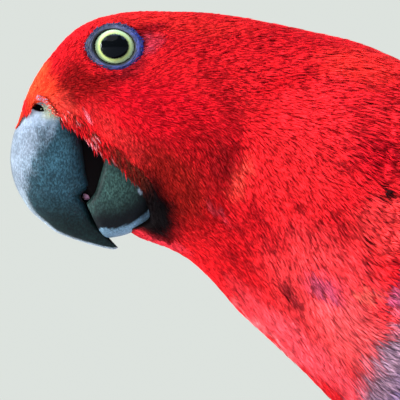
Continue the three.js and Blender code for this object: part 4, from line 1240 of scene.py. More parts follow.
# Flight feathers and coverts of a folded wing, from the lowest to the uppermost
wingRows = [
    {"name": "flights", "count": 19, "half": 5.0, "root": 84, "step": 0.55, "from": 1.7, "to": 2.3},
    {"name": "greater", "count": 15, "half": 4.9, "root": 76, "tips": (119, 100), "angles": (106, 14),
     "step": 0.55, "from": 1.2, "to": 4.0},
    {"name": "median", "count": 15, "half": 4.7, "root": 62, "tips": (103, 87), "angles": (103, 17),
     "step": 0.5, "from": 1.2, "to": 4.8},
    {"name": "small", "count": 15, "half": 4.5, "root": 49, "tips": (89, 75), "angles": (106, 14),
     "step": 0.5, "from": 1.0, "to": 5.2},
    {"name": "upper", "count": 15, "half": 4.3, "root": 38, "tips": (76, 64), "angles": (103, 17),
     "step": 0.45, "from": 0.2, "to": 5.4},
]
# The flight feathers' tips and angles. A pair of angles goes from the root to the longest tip,
# and a pair of tips from the first secondary to the last.
flight = {
    "primaries": 7, "root": 84, "longest": 225, "longestAt": 1.4, "shorter": 13, "secondaryTips": (176, 142),
    "lowest": (110, 98), "uppermost": (90, 68), "gap": 4, "secondaries": (84, 14),
}
wingColours = {
    "secondary": (96, 10, 18), "primary": (20, 22, 60), "greater": (122, 11, 19),
    "median": (134, 12, 21), "small": (146, 13, 22), "upper": (158, 14, 24), "blueEdge": (42, 44, 122),
    "skin": (70, 10, 14), "chance": (0.85, 1.12),
}
vane = {
    "across": np.array([-1, -0.78, -0.45, -0.12, 0, 0.12, 0.45, 0.78, 1]),
    "along": np.concatenate([np.linspace(0, 0.86, 15), [0.9, 0.935, 0.965, 0.985, 1]]),
    "rootWidth": 0.45, "fullWidth": 0.35, "tipFrom": 0.72, "tipLong": 0.28, "tipRound": 0.93, "ragged": 0.1,
    "shaft": 0.22, "shaftWide": 0.07, "camber": 0.3, "thin": 0.12, "thick": 0.3, "slant": 1.25,
}
vaneLook = {"specular": 0.1, "roughness": 0.55, "rootDark": 0.5, "variation": 0.6, "streaks": 0.9}


def secondaryShare(index, count):
    return (index - flight["primaries"]) / (count - flight["primaries"] - 1)


def flightTips(count):
    s, index = flight, np.arange(count)
    outer = s["longest"] - s["shorter"] * np.abs(index - s["longestAt"])
    inner = mix(*s["secondaryTips"], secondaryShare(index, count))
    return np.where(index < s["primaries"], outer, inner)


def flightAngles(count, along):
    s, index = flight, np.arange(count)[:, None, None]
    out = (along - s["root"]) / (s["longest"] - s["root"])
    primary = mix(mix(*s["lowest"], out), mix(*s["uppermost"], out), index / (s["primaries"] - 1))
    first, last = s["secondaries"]
    first = np.minimum(first, mix(*s["uppermost"], out) - s["gap"])
    inner = mix(first, last, secondaryShare(index, count))
    return np.where(index < s["primaries"], primary, inner)


# Closed plates with a shaft down the middle and slightly ragged edges. The place of a
# plate's point comes from how far along and across its feather it lies.
def vanePlates(count, length, half, placeAt):
    s = vane
    along, across = np.meshgrid(s["along"], s["across"], indexing="ij")
    rows, columns = along.shape
    along, across = along[None], across[None]
    tip = np.clip((along - s["tipFrom"]) / s["tipLong"], 0, 1)
    width = mix(s["rootWidth"], 1, smooth(along, 0, s["fullWidth"]))
    width = width * np.sqrt(1 - s["tipRound"] * tip ** 2.4)
    ragged = 1 - s["ragged"] * dice.uniform(0, 1, (count, rows, 2)) ** 3
    nibble = np.where(across < 0, ragged[..., :1], ragged[..., 1:])
    acrossMm = across * width * nibble * np.reshape(half, (-1, 1, 1))
    alongMm = along * np.reshape(length, (-1, 1, 1)) + 0 * acrossMm
    shaft = s["shaft"] * np.exp(-(across / s["shaftWide"]) ** 2) * (1 - 0.7 * along)
    top = shaft - s["camber"] * across ** 2
    under = top - shaft - s["thin"] - s["thick"] * (1 - across ** 2)
    points = np.stack([placeAt(alongMm, acrossMm, top), placeAt(alongMm, acrossMm, under)], 1)
    each = 2 * rows * columns
    faces = (np.arange(count)[:, None, None] * each + plateFaces(rows, columns)).reshape(-1, 4)
    both = lambda values: np.repeat(np.broadcast_to(values, acrossMm.shape)[:, None], 2, axis=1)
    line = alongMm - s["slant"] * np.abs(acrossMm)
    return {"points": points.reshape(-1, 3), "faces": faces[:, ::-1], "each": each,
            "along": both(along).ravel(), "across": both(across).ravel(), "line": both(line).ravel()}


def finishVanes(name, plates, colour, material, replaces=(), mapHome=(0.5, 0.5), tip=None):
    count = len(colour)
    piece = makePiece(name, plates["points"], [plates["faces"]], material, replaces)
    colour = np.repeat(colour, plates["each"], axis=0)
    if tip is not None:
        colour = tinted(colour, tip, smooth(plates["along"], 0.55, 1.0))
    paintPoints(piece, "plumage", colour)
    paintPoints(piece, "shade", np.repeat(np.clip(dice.normal(0.5, 0.22, count), 0, 1), plates["each"]))
    for label in ("along", "across", "line"):
        paintPoints(piece, label, plates[label])
    home = np.asarray(mapHome) + 0.02 * np.stack([np.arange(count) % 5, np.arange(count) // 5], -1)
    patch = np.stack([plates["along"] - 0.5, plates["across"] * 0.5], -1) * bakePatch
    paintMap(piece, np.repeat(home, plates["each"], axis=0) + patch)
    piece.data.set_sharp_from_angle(angle=math.radians(60))
    return piece


# Vanes darken to their roots, with a dark shaft, and the lines of their barbs
def makeVaneMaterial():
    s = vaneLook
    material, add, links, into = newMaterial(
        "vane", {"Specular IOR Level": s["specular"], "Roughness": s["roughness"]})
    across = maths(add, "ABSOLUTE", readAttribute(add, "across"))
    lines = useGroup(add, barbLines, Line=readAttribute(add, "line"), Depth=0.00022, Strength=0.7)
    streak = maths(add, "MULTIPLY", maths(add, "SUBTRACT", lines["Mask"], 0.5), s["streaks"])
    shade = maths(add, "ADD", readAttribute(add, "shade"), streak)
    tone = useGroup(add, featherTone, Plumage=paintedColour(add), Along=readAttribute(add, "along"),
                    Shade=shade, Root_Dark=s["rootDark"], Variation=s["variation"])
    edge = rescaled(add, across, 0.75, 1.0, 1.0, 0.62)
    shaft = rescaled(add, across, 0.0, 0.12, 0.5, 1.0)
    links.new(shaded(add, tone["Color"], maths(add, "MULTIPLY", edge, shaft)), into["Base Color"])
    links.new(lines["Normal"], into["Normal"])
    return material


def mirrored(points, side):
    return points if side < 0 else points * np.array([1, -1, 1])


def makeWings(vaneMaterial, coatMaterial):
    for hand, side in hands:
        skin = wingSkin(f"wing_skin_{hand}", side)
        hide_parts(f"wing_{hand}")
        for row in wingRows:
            makeWingRow(row, hand, side, vaneMaterial)
        makeLesserCoverts(hand, side, coatMaterial)
        print("wing", hand, "ready")


def wingSkin(name, side):
    s, angle = np.meshgrid(np.linspace(3, 92, 60), np.linspace(8, 117, 50), indexing="ij")
    outer = mirrored(wingPoint(s, angle, -0.6), side)
    inner = mirrored(bedPoint(s, angle, -2.6), side)
    faces = plateFaces(*s.shape)
    faces = faces[:, ::-1] if side < 0 else faces
    points = np.concatenate([outer.reshape(-1, 3), inner.reshape(-1, 3)])
    piece = makePiece(name, points, [faces], bpy.data.materials["skin"])
    paintPlain(piece, wingColours["skin"])
    return piece


def makeWingRow(row, hand, side, material):
    count, root = row["count"], row["root"]
    index = np.arange(count)
    flights = row["name"] == "flights"
    tips = flightTips(count) if flights else mix(*row["tips"], index / (count - 1))
    bow = 0 if flights else 5 * np.sin(np.pi * index / (count - 1))
    tips = tips + bow + dice.normal(0, 0.8 if flights else 1.4, count)
    length = tips - root

    def anglesAt(s):
        if flights:
            return flightAngles(count, s)
        return mix(*row["angles"], index[:, None, None] / (count - 1)) + 0 * s

    def placeAt(along, across, up):
        s = root + along
        middle = anglesAt(s)
        perDegree = np.linalg.norm(bedPoint(s, middle + 1) - bedPoint(s, middle - 1), axis=-1) / 2
        angle = middle + across / perDegree
        first, last = middle[[0, -1]]
        place = (angle - first) / (last - first) * (count - 1)
        lie = mix(row["from"], row["to"], along / np.reshape(length, (-1, 1, 1)))
        height = lie + row["step"] * (index[:, None, None] - place) + up
        return mirrored(bedPoint(s, angle, height), side)

    plates = vanePlates(count, length, row["half"], placeAt)
    if side > 0:
        plates["faces"] = plates["faces"][:, ::-1]
    if flights:
        share = smooth(index, flight["primaries"] - 1, flight["primaries"] + 2)
        colour = tinted(linear(*wingColours["primary"]), wingColours["secondary"], share)
    else:
        share = smooth(index, 0.8, 3.4)
        colour = tinted(linear(*wingColours["blueEdge"]), wingColours[row["name"]], share)
        colour = colour * (1 - 1.8 * share * (1 - share))[:, None]
    colour = colour * dice.uniform(*wingColours["chance"], (count, 1))
    finishVanes(f"{row['name']}_{hand}", plates, colour, material,
                mapHome=(0.5, 0.2 if side < 0 else 0.7))


lesserCoverts = {
    "barbs": 18, "ruffle": 0.14, "depth": 1.6, "rise": 0.75, "camber": 0.35, "sunk": 0.25, "thick": 0.12,
    "barbWidth": 0.42, "stepA": 0.4,
}
covertsArea = {"along": (3, 60), "down": (9, 116), "spacing": (2.7, 4.4), "length": (8, 13)}


def makeLesserCoverts(hand, side, material):
    area = covertsArea
    place = lambda s, angle, height=0.0: mirrored(wingPoint(s, angle, height), side)
    a, b = scatterRoots(place, area["along"], area["down"],
                        lambda s: np.interp(s, area["along"], area["spacing"]))
    length = np.interp(a, area["along"], area["length"])
    proud = np.interp(a, [3, 30, 60], [1.0, 1.4, 2.8])[:, None]
    grown = growBarbs(place, a, b, **lesserCoverts, lie=lieAlong, length=length, width=length * 0.55,
                      proud=proud, stepB=-0.6 * side)
    colour = tinted(plumageAt(grown["colourPlace"]), wingColours["upper"], smooth(a, 8, 24))
    colour = tinted(colour, wingColours["blueEdge"], smooth(b, 88, 104) * smooth(a, 8, 16))
    colour = colour * dice.uniform(*wingColours["chance"], (len(a), 1))
    uv = 0.2 + 0.3 * np.stack([a / 60, b / 116], -1)
    finishCoat(f"lesser_coverts_{hand}", grown, uv, colour, material)


# Tail: a frame sloping down from the rump, and the core that its feathers lie on
tailFrame = {"x": 204.9, "z": -97.2, "slope": 33}
tailCore = {"from": -14, "long": 52, "half": 10.5, "low": -2.6, "deep": 6.2, "colour": (80, 10, 12)}


def tailPoint(along, side, up):
    slope = math.radians(tailFrame["slope"])
    x = tailFrame["x"] + along * math.cos(slope) + up * math.sin(slope)
    z = tailFrame["z"] - along * math.sin(slope) + up * math.cos(slope)
    return np.stack(np.broadcast_arrays(x, side, z), -1)


# Each set: how many feathers a side, half width, how much shorter each next pair is, and for
# root and tip: along, height, side step, rise per feather
tailSets = [
    {"name": "tail_feathers", "pairs": 6, "half": 7.0, "shorter": 0.6, "root": (1, 0, 1.2, -0.6),
     "tip": (115, 0, 2.7, -0.65), "colour": (142, 18, 18)},
    {"name": "upper_tail_coverts", "pairs": 4, "half": 4.6, "shorter": 0.7, "root": (-24, 10.6, 2.9, -0.75),
     "tip": (36, 3.0, 2.6, -0.5), "colour": (124, 14, 20)},
    {"name": "upper_coverts_short", "pairs": 4, "half": 4.6, "shorter": 0.6, "root": (-34, 13.2, 3.1, -1.0),
     "tip": (14, 6.4, 2.9, -0.8), "colour": (118, 13, 20)},
    {"name": "under_tail_long", "pairs": 4, "half": 5.0, "shorter": 0.6, "root": (-4, -11.4, 2.8, 0.7),
     "tip": (62, -5.4, 2.9, 0.15), "colour": (150, 18, 22)},
    {"name": "under_tail_short", "pairs": 4, "half": 5.0, "shorter": 0.7, "root": (-12, -19.4, 3.2, 1.5),
     "tip": (30, -9.8, 2.9, 0.4), "colour": (150, 17, 24)},
]
tailTip = (188, 56, 26)


def makeTail(material):
    for row in tailSets:
        makeTailSet(row, material)
    s = tailCore
    core, turn = np.linspace(0, 1, 24)[:, None], turnsRound(40)[None, :]
    size = np.sqrt(1 - (core * 0.96) ** 2)
    grid = tailPoint(s["from"] + s["long"] * core + 0 * turn, s["half"] * size * np.sin(turn),
                     s["low"] + s["deep"] * size * np.cos(turn))
    piece = makeTube("tail_core", grid, bpy.data.materials["skin"])
    paintPlain(piece, s["colour"])
    print("tail ready")


def makeTailSet(row, material):
    order = np.arange(-row["pairs"], row["pairs"] + 1)
    count = len(order)
    offset = order[:, None, None]
    pair = np.abs(offset)
    root, tip = row["root"], row["tip"]
    length = (tip[0] - row["shorter"] * pair ** 2 - root[0]).ravel() + dice.normal(0, 0.6, count)
    face = -1 if root[1] < 0 else 1  # the under tail coverts face down

    def placeAt(along, across, up):
        share = along / np.reshape(length, (-1, 1, 1))
        sideways = mix(root[2], tip[2], share) * offset + across
        height = mix(root[1], tip[1], share) + mix(root[3], tip[3], share) * pair
        tilt = np.sign(offset) * across * -0.06 * face
        height = height - 0.008 * sideways ** 2 * face + tilt
        return tailPoint(root[0] + along, sideways, height + up * face)

    plates = vanePlates(count, length, row["half"], placeAt)
    if face > 0:
        plates["faces"] = plates["faces"][:, ::-1]
    colour = linear(*row["colour"]) * dice.uniform(0.88, 1.1, (count, 1))
    long = row["name"] == "tail_feathers"
    finishVanes(row["name"], plates, colour, material, ("tail",) if long else (),
                tip=tailTip if long else None)


# Legs: x, z and radius from the body to the sole, and the toes as turn, length, radius and
# length of claw. The shape of a toe gives its radius and height along it.
leg = {"side": 20, "footX": 120, "toeZ": -172, "shank": (3.2, 7), "scales": (15, 0.07),
       "toeScales": (2.4, 0.06)}
legPoints = [
    (108, -102, 15), (116, -117, 15.2), (123, -130, 12), (129, -142, 7.4), (129, -148, 4.9),
    (125, -157, 4.4), (121, -166, 4.9), (120, -169.4, 4.4),
]
toes = {
    "inner_front": (-20, 25, 3.3, 9), "outer_front": (15, 35, 3.5, 11),
    "outer_back": (155, 32, 3.4, 10), "inner_back": (210, 17, 3.0, 8),
}
toeShape = [(0, 0.95, 1.25), (0.25, 0.99, 1.2), (0.45, 0.8, 1.02), (0.6, 0.94, 0.97), (0.8, 0.78, 0.87),
            (0.93, 0.88, 0.86), (1, 0.5, 0.84)]


# A round tube through points. Its angle runs from the up side, 0, to the bird's left.
def tubeGrid(path, radii, around, bumps=None):
    run = unit(np.gradient(path, axis=0))
    upright = abs(run[:, 1]).max() < 0.3
    aside = unit(np.cross(run, [0.0, 1.0, 0.0]) if upright else np.cross([0.0, 0.0, 1.0], run))
    other = np.cross(aside, run)
    turn = turnsRound(around)
    swell = np.ones((len(path), around))
    if bumps:
        swell = bumps(np.linspace(0, 1, len(path))[:, None], turn)
    reach = (radii[:, None] * swell)[..., None]
    turn = turn[:, None]
    return path[:, None] + reach * (aside[:, None] * np.cos(turn) + other[:, None] * np.sin(turn))


def legPlace(side):
    def place(at, angle, height=0.0):
        at, angle, height = together(at, angle, height)
        row = curveAt(legPoints, at)
        ahead = curveAt(legPoints, at + 0.05) - curveAt(legPoints, at - 0.05)
        run = unit(np.stack([ahead[..., 0], 0 * at, ahead[..., 1]], -1))
        out = np.stack([run[..., 2], 0 * at, -run[..., 0]], -1)
        turn = np.radians(angle)
        middle = np.stack([row[..., 0], side * leg["side"] + 0 * at, row[..., 1]], -1)
        across = np.array([0.0, 1.0, 0.0])
        reach = (row[..., 2] + height)[..., None]
        return middle + reach * (out * np.cos(turn)[..., None] + across * np.sin(turn)[..., None])
    return place


# The thigh's upper end is rounded off inside the flank
def thighPlace(side):
    legAt = legPlace(side)

    def place(at, angle, height=0.0):
        above = 1 - np.clip(np.asarray(at, float) / 0.9, 0, 1)
        return legAt(at, angle, height - legPoints[0][2] * (1 - np.sqrt(1 - above ** 2)))
    return place


thighBarbs = {
    "barbs": 14, "stray": 9, "ruffle": 0.16, "depth": 1.8, "rise": 0.8, "camber": 0.3, "sunk": 0.25,
    "thick": 0.12, "barbWidth": 0.55, "stepB": 1.0,
}
thigh = {"down": (0, 3.55), "spacing": (3, 2), "length": (10, 5.5), "pale": (74, 70, 140),
         "skin": (40, 34, 80)}


def makeThighs(material):
    s = thigh
    for hand, side in hands:
        place = thighPlace(side)
        at, angle = np.linspace(0.03, 3.6, 50)[:, None], np.arange(60)[None, :] * 6.0
        grid = place(at, angle, -np.interp(at, [0, 0.5, 3.1, 3.6], [0.2, 2, 1.6, 2.8]))
        skin = makeTube(f"thigh_skin_{hand}", grid, bpy.data.materials["skin"],
                        (f"thigh_{hand}",))
        paintPlain(skin, s["skin"])
        a, b = scatterRoots(place, (0.1, 3.55), (0, 360), lambda at: np.interp(at, s["down"], s["spacing"]))
        length = np.interp(a, s["down"], s["length"])
        grown = growBarbs(place, a, b, **thighBarbs, lie=lieAlong, length=length, width=length * 0.55)
        colour = tinted(linear(*plumage["violet"]), s["pale"], dice.uniform(0, 1, len(a)))
        uv = 0.1 + 0.3 * np.stack([a / 4, b / 360], -1)
        finishCoat(f"coat_thigh_{hand}", grown, uv, colour, material)


legSkin = {
    "dark": (40, 38, 40), "pale": (104, 100, 100), "shader": {"Specular IOR Level": 0.35, "Roughness": 0.55},
    "grain": {"Scale": 700.0, "Depth": 0.0002, "Strength": 0.8, "Cells": 0.85},
}
claw = {
    "dark": (14, 14, 16), "pale": (44, 44, 48),
    "grain": {"Scale": 1800.0, "Depth": 0.00005, "Strength": 0.4},
    "shader": {"Specular IOR Level": 0.5, "Roughness": 0.35, "Coat Weight": 0.3, "Coat Roughness": 0.25},
    "sunk": 1.2, "root": 0.58, "point": 0.15, "lift": 2.55, "arch": (0.9, 135), "fall": 0.68,
}


# Scales across the front of a leg or the top of a toe
def scutes(rows, depth):
    def bumps(share, turn):
        facing = smooth(np.cos(turn), -0.2, 0.4)
        return 1 + depth * facing * (np.abs(np.sin(share * rows * math.pi)) - 0.6)
    return bumps


def aboveFloor(grid):
    grid[..., 2] = np.maximum(grid[..., 2], soleHeight)
    return grid


def makeFeet(legMaterial, clawMaterial):
    for hand, side in hands:
        rows = curveAt(legPoints, np.linspace(*leg["shank"], 90))
        path = np.stack([rows[:, 0], np.full(len(rows), side * leg["side"]), rows[:, 1]], -1)
        grid = aboveFloor(tubeGrid(path, rows[:, 2] * 0.98, 48, scutes(*leg["scales"])))
        makeTube(f"shank_skin_{hand}", grid, legMaterial, (f"shank_{hand}",))
        points, faces = [], []
        home = np.array([leg["footX"], side * leg["side"], leg["toeZ"]])
        for name, (turn, long, radius, clawLong) in toes.items():
            turn = math.radians(turn)
            run = np.array([-math.cos(turn), side * math.sin(turn), 0])
            shape = curveAt(toeShape, np.linspace(0, 6, 70))
            path = home + run * shape[:, :1] * long
            path[:, 2] += shape[:, 2] * 3
            spacing, depth = leg["toeScales"]
            grid = aboveFloor(tubeGrid(path, shape[:, 1] * radius, 36, scutes(long / spacing, depth)))
            offset = sum(len(mesh) for mesh in points)
            points.append(withCaps(grid))
            faces += [f + offset for f in ringFaces(*grid.shape[:2])]
            makeClaw(f"{name}_{hand}", home, run, (long, clawLong, radius), clawMaterial)
        makePiece(f"foot_skin_{hand}", np.vstack(points), faces, legMaterial, (f"foot_{hand}",))
    print("feet ready")


def makeClaw(name, home, run, sizes, material):
    toeLong, clawLong, radius = sizes
    share = np.linspace(0, 1, 40)
    path = home + run * (toeLong + mix(-claw["sunk"], clawLong, share))[:, None]
    arch, turn = claw["arch"]
    path[:, 2] += claw["lift"] * (1 + arch * np.sin(np.radians(turn * share)) - claw["fall"] * share)
    radii = claw["root"] * radius * (1 - share) ** 0.8 + claw["point"]
    grid = aboveFloor(tubeGrid(path, radii, 24))
    makeTube(f"talon_{name}", grid, material, (f"claw_{name}",))


# Cere: a low collar of skin over the bill's root, pale with cream down and the bill's painted highlight,
# with the nostril sunk into it
nostril = {"x": -19.6, "z": -15.6, "long": 2.1, "high": 0.85, "turn": 20, "deep": 3.5, "dark": (5, 4, 4)}
cere = {
    # The dark red-brown here is the painted shadow along the feathers' edge
    "rings": 64, "around": 200, "last": 1.1, "swell": 0.03, "cream": (106, 106, 82), "edgeShadow": (30, 14, 12),
    "shader": {"Roughness": 0.6, "Specular IOR Level": 0.08}, "mottle": (0.3, 0.7, 0.8, 1.5),
    "grain": {"Scale": 1500.0, "Depth": 0.0001, "Strength": 0.6},
}


def makeCere(material):
    s = nostril
    grid = billGrid(upperBill, billShape["upperPower"], cere["rings"], cere["around"], last=cere["last"])
    down = np.linspace(0, cere["last"], cere["rings"])[:, None]
    middle = grid.mean(1, keepdims=True)
    grid = middle + (grid - middle) * (1 + cere["swell"] * smooth(down, 1.1, 0.6))[..., None]
    x, z = grid[..., 0], grid[..., 2]
    reach = ellipseReach(x - s["x"], z - s["z"], s["long"], s["high"], s["turn"])
    pit = 1 - smooth(reach, 0.6, 1.1)
    grid[..., 1] -= np.sign(grid[..., 1]) * np.minimum(s["deep"], 0.8 * np.abs(grid[..., 1])) * pit
    piece = makeTube("cere_skin", grid, material, ("cere",))
    # The bill's colours go on over the cere, painted highlight and all
    colour = hornColour(grid.reshape(-1, 3)).reshape(grid.shape)
    cream = smooth(x, -19.5, -17) * smooth(down, 1.05, 0.5)
    cream = cream * smooth(x, -12, -15) * smooth(z, -19.4, -17.6)
    cream = cream * (0.75 + 0.5 * cloudiness(grid.reshape(-1, 3), 0.7).reshape(cream.shape))
    colour = tinted(colour, cere["cream"], np.clip(cream, 0, 1))
    # The feathers' edge above the bill is lined with painted shadow
    edgeShadow = smooth(np.abs(beforeEdge(x, z) - 0.2), 0.5, 0.15) * smooth(x, -20, -21)
    colour = tinted(colour, cere["edgeShadow"], 0.8 * edgeShadow)
    # The nostril's pit is painted near black, the shade inside it
    colour = tinted(colour, s["dark"], smooth(pit, 0.02, 0.3)).reshape(-1, 3)
    paintPoints(piece, "plumage", np.vstack([colour, colour[:1], colour[-1:]]))


# Tongue: x, z and radius from its root to its tip
tonguePoints = [
    (3, -31, 2.6), (0, -33.6, 3.2), (-3.6, -36, 2.7), (-5.9, -37.2, 1.9), (-7.6, -38.1, 1.2),
    (-8.4, -38.5, 0.3),
]
tongue = {
    "dark": (190, 90, 120), "pale": (246, 190, 216), "wide": 1.8,
    "shader": {"Roughness": 0.4, "Coat Weight": 0.3, "Subsurface Weight": 0.1},
    "grain": {"Scale": 1800.0, "Depth": 0.0001, "Strength": 0.5},
}


def makeTongue(material):
    route = curveAt(tonguePoints, np.linspace(0, 5, 50))
    path = np.stack([route[:, 0], 0 * route[:, 0], route[:, 1]], -1)
    grid = tubeGrid(path, route[:, 2], 40) * [1, tongue["wide"], 1]
    makeTube("tongue_flesh", grid, material, ("tongue",))


# The place on the left side of the body seen at x and z
def nearestOnBody(x, z):
    at, angle = np.meshgrid(np.linspace(0, 5, 300), np.linspace(1, 179, 300), indexing="ij")
    place = featheredPoint(at, angle)[..., [0, 2]].reshape(-1, 2)
    nearest = [((place - (px, pz)) ** 2).sum(1).argmin() for px, pz in zip(x, z)]
    return at.ravel()[nearest], angle.ravel()[nearest]


# A flat place beside each feather's root, for feathers that leave the surface
def flatPlace(homes, side):
    def place(across, up, height=0.0):
        across, up, height = together(across, up, height)
        home = homes.reshape(len(homes), *[1] * (across.ndim - 1), 3)
        return home + np.stack([across, side * height, up], -1)

    return place


# Fine bristly feathers along the edge of the face: short tufts over the nostril, which follow the
# surface, and longer strands beside the bill, which leave it and cross the horn
fringe = {
    "tufts": {"from": -21.2, "to": -14.5, "count": 220, "inward": (0.0, 0.8), "length": (0.7, 1.5)},
    "strands": {"from": -14.5, "to": 9.0, "count": 1000, "inward": (-0.1, 2.6), "length": (1.6, 4.0)},
}
fringeBarbs = {
    "stray": 4, "width": 0.4, "barbShare": 0.75, "lastBarb": 0.35, "bend": 0.4, "ruffle": 0.12,
    "depth": 0.5, "proud": 0.3, "thick": 0.08, "barbWidth": 0.13, "uneven": 0.15,
}
# By x, from the forehead to the chin: how feathers turn below level, and the share of pale and
# of dark ones
fringeTurn = [(-21, -30), (-18, 20), (-16, 52), (-13, 66), (-8, 62), (0, 62), (6, 70), (9, 80)]
fringePale = [
    (-21, 0), (-20, 0.6), (-16, 0.35), (-13, 0.08), (-8, 0.04), (-7.4, 0.4), (-5.8, 0.4), (-5, 0.03), (5, 0),
]
fringeDark = [(-16, 0.1), (-12, 0.25), (-2, 0.4), (2, 0.5), (6, 0.9)]
fringeColours = {
    "forehead": (178, 128, 138), "nostril": (176, 170, 134), "cheek": (222, 116, 116),
    "shadow": (88, 26, 14), "chinShadow": (12, 4, 4),
}


def tableAt(x, table):
    return np.interp(x, *zip(*table))


def makeFaceFringe(material):
    edge = curveAt(featherEdge, np.linspace(0, len(featherEdge) - 3, 400))
    steps = np.concatenate([[0], np.cumsum(np.linalg.norm(np.diff(edge, axis=0), axis=1))])
    edgeAt = lambda run: np.stack([np.interp(run, steps, edge[:, k]) for k in (0, 1)], -1)
    for kind, s in fringe.items():
        low, high = (np.interp(s[end], edge[:, 0], steps) for end in ("from", "to"))
        for hand, side in hands:
            run = dice.uniform(low, high, s["count"])
            x, z = edgeAt(run).T
            ahead = unit(edgeAt(run + 0.3) - edgeAt(run - 0.3))
            inward = dice.uniform(*s["inward"], s["count"])
            a, b = nearestOnBody(x - ahead[:, 1] * inward, z + ahead[:, 0] * inward)
            b = b if side < 0 else 360 - b
            lie = heading(tableAt(x, fringeTurn) + dice.normal(0, 9, s["count"]))
            look = {**fringeBarbs, "lie": lambda points, along: lie,
                    "length": dice.uniform(*s["length"], s["count"])}
            if kind == "strands":
                grown = growBarbs(flatPlace(featheredPoint(a, b), side), 0 * a, 0 * b, **look)
            else:
                grown = growBarbs(featheredPoint, a, b, **look)
            colour = fringeColour(x, plumageAt(grown["colourPlace"]))
            finishCoat(f"face_{kind}_{hand}", grown, bodyMap(a, b), colour, material)


def fringeColour(x, colour):
    s = fringeColours
    pale = dice.uniform(0, 1, len(x)) < tableAt(x, fringePale)
    tint = tinted(linear(*s["forehead"]), s["nostril"], smooth(x, -18.5, -16))
    tint = tinted(tint, s["cheek"], smooth(x, -17, -13))
    colour = np.where(pale[:, None], tint, colour)
    dark = dice.uniform(0, 1, len(x)) < tableAt(x, fringeDark)
    shadow = tinted(linear(*s["shadow"]), s["chinShadow"], smooth(x, 4, 8))
    return np.where((dark & ~pale)[:, None], shadow, colour)


# Feathers that stand on the bill's root: red ones down the forehead, cream down by the nostril
rootDown = {
    "forehead_edge": {"x": (-26, -20.6), "lowest": -21.2, "count": 1000, "turn": -58,
                      "colour": (242, 64, 36), "chance": 0.15},
    "nostril_down": {"x": (-19.2, -15.0), "lowest": -18.4, "count": 500, "turn": 40,
                     "colour": (150, 150, 124), "chance": 0.3, "redShare": 0.15, "red": (226, 70, 56)},
}
rootBarbs = {
    "stray": 5, "barbShare": 0.8, "lastBarb": 0.3, "bend": 0.4, "ruffle": 0.06, "depth": 0.3, "rise": 0.7,
    "camber": 0.05, "thick": 0.07, "stepA": 0.01, "stepB": 0.5,
}


def onBillRoot(a, b, height=0.0):
    a, b, height = together(a, b, height)
    onBill = lambda a, b: billPoint(upperBill, billShape["upperPower"], a, np.radians(b))
    along = onBill(a + 0.01, b) - onBill(a - 0.01, b)
    around = onBill(a, b + 0.5) - onBill(a, b - 0.5)
    return onBill(a, b) + unit(np.cross(along, around)) * (height + 0.25)[..., None]


def makeBillRootDown(material):
    for name, s in rootDown.items():
        forehead = name == "forehead_edge"
        tries = s["count"] * 8
        a, b = dice.uniform(0.02, 2.2, tries), dice.uniform(-100, 100, tries)
        points = onBillRoot(a, b)
        x, side, z = points[:, 0], np.abs(points[:, 1]), points[:, 2]
        gap = beforeEdge(x, z)
        if forehead:
            # The forehead's strip narrows to a ragged point
            strip = np.interp(z, [-21.2, -20.4, -18.8, -16.5, -14], [0.1, 0.9, 2.2, 4.6, 9])
            strip = strip * dice.uniform(0.6, 1.25, tries)
            inside = (gap < np.interp(z, [-20.6, -18.5], [0.5, 0.3])) & (side < strip)
        else:
            inside = (gap > -1) & (gap < 1.3 + 0.7 * dice.normal(0, 1, tries)) & (side < 20)
        inside &= (x > s["x"][0]) & (x < s["x"][1]) & (z > s["lowest"])
        keep = np.flatnonzero(inside)[:s["count"]]
        a, b = a[keep], b[keep]
        lie = heading(s["turn"] + dice.normal(0, 9, len(a)))
        proud = 0.1
        if forehead:
            proud = np.interp(onBillRoot(a, b)[:, 2], [-20.6, -19, -16], [0.3, 0.7, 1.0])[:, None]
        grown = growBarbs(onBillRoot, a, b, **rootBarbs, lie=lambda points, along: lie,
                          length=dice.uniform(1.0, 2.0, len(a)), proud=proud)
        colour = linear(*s["colour"]) * dice.uniform(1 - s["chance"], 1 + s["chance"], (len(a), 1))
        if not forehead:
            red = dice.uniform(0, 1, (len(a), 1)) < s["redShare"]
            colour = np.where(red, linear(*s["red"]), colour)
        uv = np.stack([0.02 + 0.02 * a, 0.5 + b / 400], -1)
        finishCoat(name, grown, uv, colour, material)


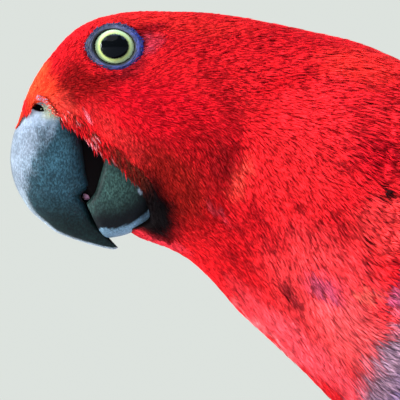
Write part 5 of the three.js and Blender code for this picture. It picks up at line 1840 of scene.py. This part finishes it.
# Short blue feathers on the rim of the ring round the eye, with their tips over the red
ringFringe = {
    "count": 300, "reach": (5.2, 5.95), "rim": [(5.3, 14.95), (5.7, 14.7), (6.0, 14.3)],
    "length": (0.5, 1.1), "grey": (56, 58, 78), "blue": (44, 54, 118), "chance": (0.45, 1.3),
}
ringBarbs = {
    "stray": 16, "barbShare": 0.75, "lastBarb": 0.35, "bend": 0.4, "ruffle": 0.05, "depth": 0.15,
    "proud": -0.05, "rise": 0.6, "camber": 0.05, "sunk": 0.05, "thick": 0.07,
}


def makeRingFringe(material):
    s, count = ringFringe, ringFringe["count"]
    for hand, side in hands:
        turn = dice.uniform(0, 2 * np.pi, count)
        reach = dice.uniform(*s["reach"], count)
        x, z = reach * eyeRing["stretch"] * np.cos(turn), reach * np.sin(turn) - eyeRing["low"]
        homes = np.stack([x, side * tableAt(reach, s["rim"]), z], -1)
        lie = unit(np.stack([0.7 * np.cos(turn) + 0.55, 0 * turn, 0.7 * np.sin(turn) - 0.1], -1))
        grown = growBarbs(flatPlace(homes, side), 0 * x, 0 * x, **ringBarbs, lie=lambda points, along: lie,
                          length=dice.uniform(*s["length"], count))
        colour = tinted(linear(*s["grey"]), s["blue"], smooth(x - 0.8 * z, -3, 5))
        colour = colour * dice.uniform(*s["chance"], (count, 1))
        uv = bodyMap(*nearestOnBody(x, z)) * [1, -side] + [0, 0 if side < 0 else 1.0]
        finishCoat(f"ring_fringe_{hand}", grown, uv, colour, material)


makeCamera()
makeLights()
makeStudio()
print("studio ready")
makeSkin()
print("skin ready")
makeBill(makeBillMaterial())
print("bill ready")
makeEyes(makeEyeMaterial())
makeEyeRings(makeMottledMaterial("eyeRing", ringLook))
print("eyes ready")
coatMaterial = makeCoatMaterial()
for tract in coatTracts:
    makeCoat(tract, coatMaterial)
makeFaceFringe(coatMaterial)
makeBillRootDown(coatMaterial)
makeRingFringe(coatMaterial)
makeThighs(coatMaterial)
print("coat ready")
vaneMaterial = makeVaneMaterial()
makeWings(vaneMaterial, coatMaterial)
makeTail(vaneMaterial)
makeFeet(makeTwoToneMaterial("legSkin", legSkin), makeTwoToneMaterial("claw", claw))
makeCere(makeMottledMaterial("cere", cere))
makeTongue(makeTwoToneMaterial("tongue", tongue))
